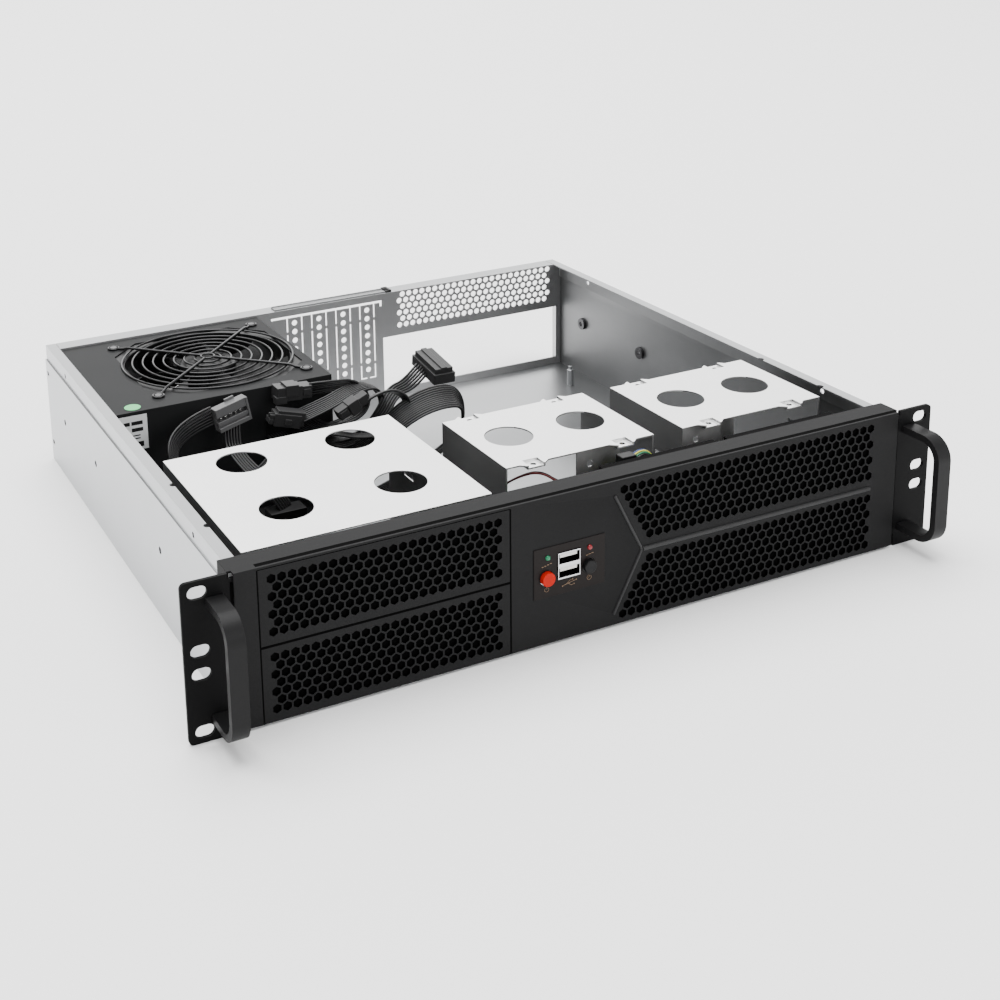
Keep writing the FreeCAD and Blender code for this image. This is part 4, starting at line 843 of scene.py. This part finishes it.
def mark(points, width):
    line = [at(x, plate_front, z) for x, z in points]
    return tube(line, width / 2 * mm, 6)


def arc_points(x, z, radius, first, last, steps=16):
    points = []
    for k in range(steps + 1):
        angle = math.radians(first + (last - first) * k / steps)
        points.append((x + radius * math.sin(angle), z + radius * math.cos(angle)))
    return points


marks = [mark(arc_points(-34.4, 34.8, 1.3, 35, 325), 0.32), mark([(-34.4, 35.0), (-34.4, 36.4)], 0.32),
         mark(arc_points(-7.0, 35.6, 1.4, 60, 350), 0.32), mark([(-7.6, 35.4), (-6.4, 36.8)], 0.32),
         mark([(-24.2, 34.6), (-15.8, 36.4)], 0.35),
         mark([(-21.8, 35.1), (-19.6, 37.0), (-18.4, 37.2)], 0.3),
         mark([(-20.6, 35.4), (-18.6, 33.8), (-17.4, 34.2)], 0.3)]
half_bar = 0.65
half_dot = 0.3
for x, z in ((-37.0, 48.9), (-35.3, 49.2), (-33.6, 49.6), (-31.9, 50.0),
             (-8.4, 49.4), (-6.7, 49.7), (-5.0, 50.0)):
    marks.append(mark([(x - half_bar, z), (x + half_bar, z)], 0.5))
for x, z in ((-24.4, 34.5), (-17.9, 37.3), (-17.0, 34.3), (-15.4, 36.5)):
    marks.append(mark([(x - half_dot, z), (x + half_dot, z)], 0.8))
ink = bound("plate_marks", marks, mark_ink)
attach(ink, "case")

# Ports, buttons and lamps: a twin port with a folded metal shell and white tongues, two moulded push buttons
# that slide in the plate, and two coloured lamp heads. All sit on a small circuit board behind the plate.
port_metal = surface("port_shell", (0.62, 0.62, 0.63), rolled, spread=0.1, rough=0.3, bump=0.05, metal=0.95)
white_plastic = surface("white_plastic", (0.75, 0.74, 0.70), moulded, spread=0.1, rough=0.4, bump=0.05,
                        grain=900.0)
red_plastic = surface("red_plastic", (0.42, 0.008, 0.002), moulded, spread=0.15, rough=0.4, bump=0.05,
                      grain=900.0, shine=0.08)
green_lens = surface("green_lens", (0.01, 0.16, 0.07), moulded, spread=0.2, rough=0.15, bump=0.02,
                     grain=900.0, rough_spread=0.05)
red_lens = surface("red_lens", (0.22, 0.012, 0.016), moulded, spread=0.2, rough=0.15, bump=0.02,
                   grain=900.0, rough_spread=0.05)
port_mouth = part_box("port_stack")[0].y + 0.3 * mm
rounded("control_board", 0.2, board_green)
ports = rounded("port_stack", 0.2, port_metal)
# Painted shade: the shell's faces behind its mouth are painted near-black.
repaint(ports, foam_black_and_painted_shade, lambda face: face.center.y > port_mouth)
rounded("port_tongues", 0.15, white_plastic)
rounded("power_button", 0.6, red_plastic)
rounded("reset_button", 0.6, black_plastic)
lamp_middle = sum(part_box("front_lamps"), Vector()).x / 2
lamps = rounded("front_lamps", 0.2, green_lens)
repaint(lamps, red_lens, lambda face: face.center.x > lamp_middle)

# Rack ears and handles: the ears are folded black powder-coated steel, screwed to the walls. The handles are
# black bows, screwed to the ears from behind, and the screws are bright steel.
ear_paint = surface("ear_paint", (0.005, 0.005, 0.0052), powder, spread=0.45, rough=0.55, bump=0.7,
                    grain=2000.0, rough_spread=0.18, depth=raised, shine=0.05)
handle_paint = surface("handle_paint", (0.008, 0.008, 0.0083), powder, spread=0.35, rough=0.45, bump=0.5,
                       grain=1500.0, rough_spread=0.15, depth=raised, shine=0.12)
screw_metal = surface("screw_steel", (0.45, 0.45, 0.46), rolled, spread=0.15, rough=0.3, bump=0.1,
                      metal=0.95)
for node in ("rack_ear_left", "rack_ear_right"):
    rounded(node, 0.3, ear_paint)
for node in ("handle_left", "handle_right"):
    rounded(node, 1.2, handle_paint, segments=4)
rounded("case_screws", 0.3, screw_metal)
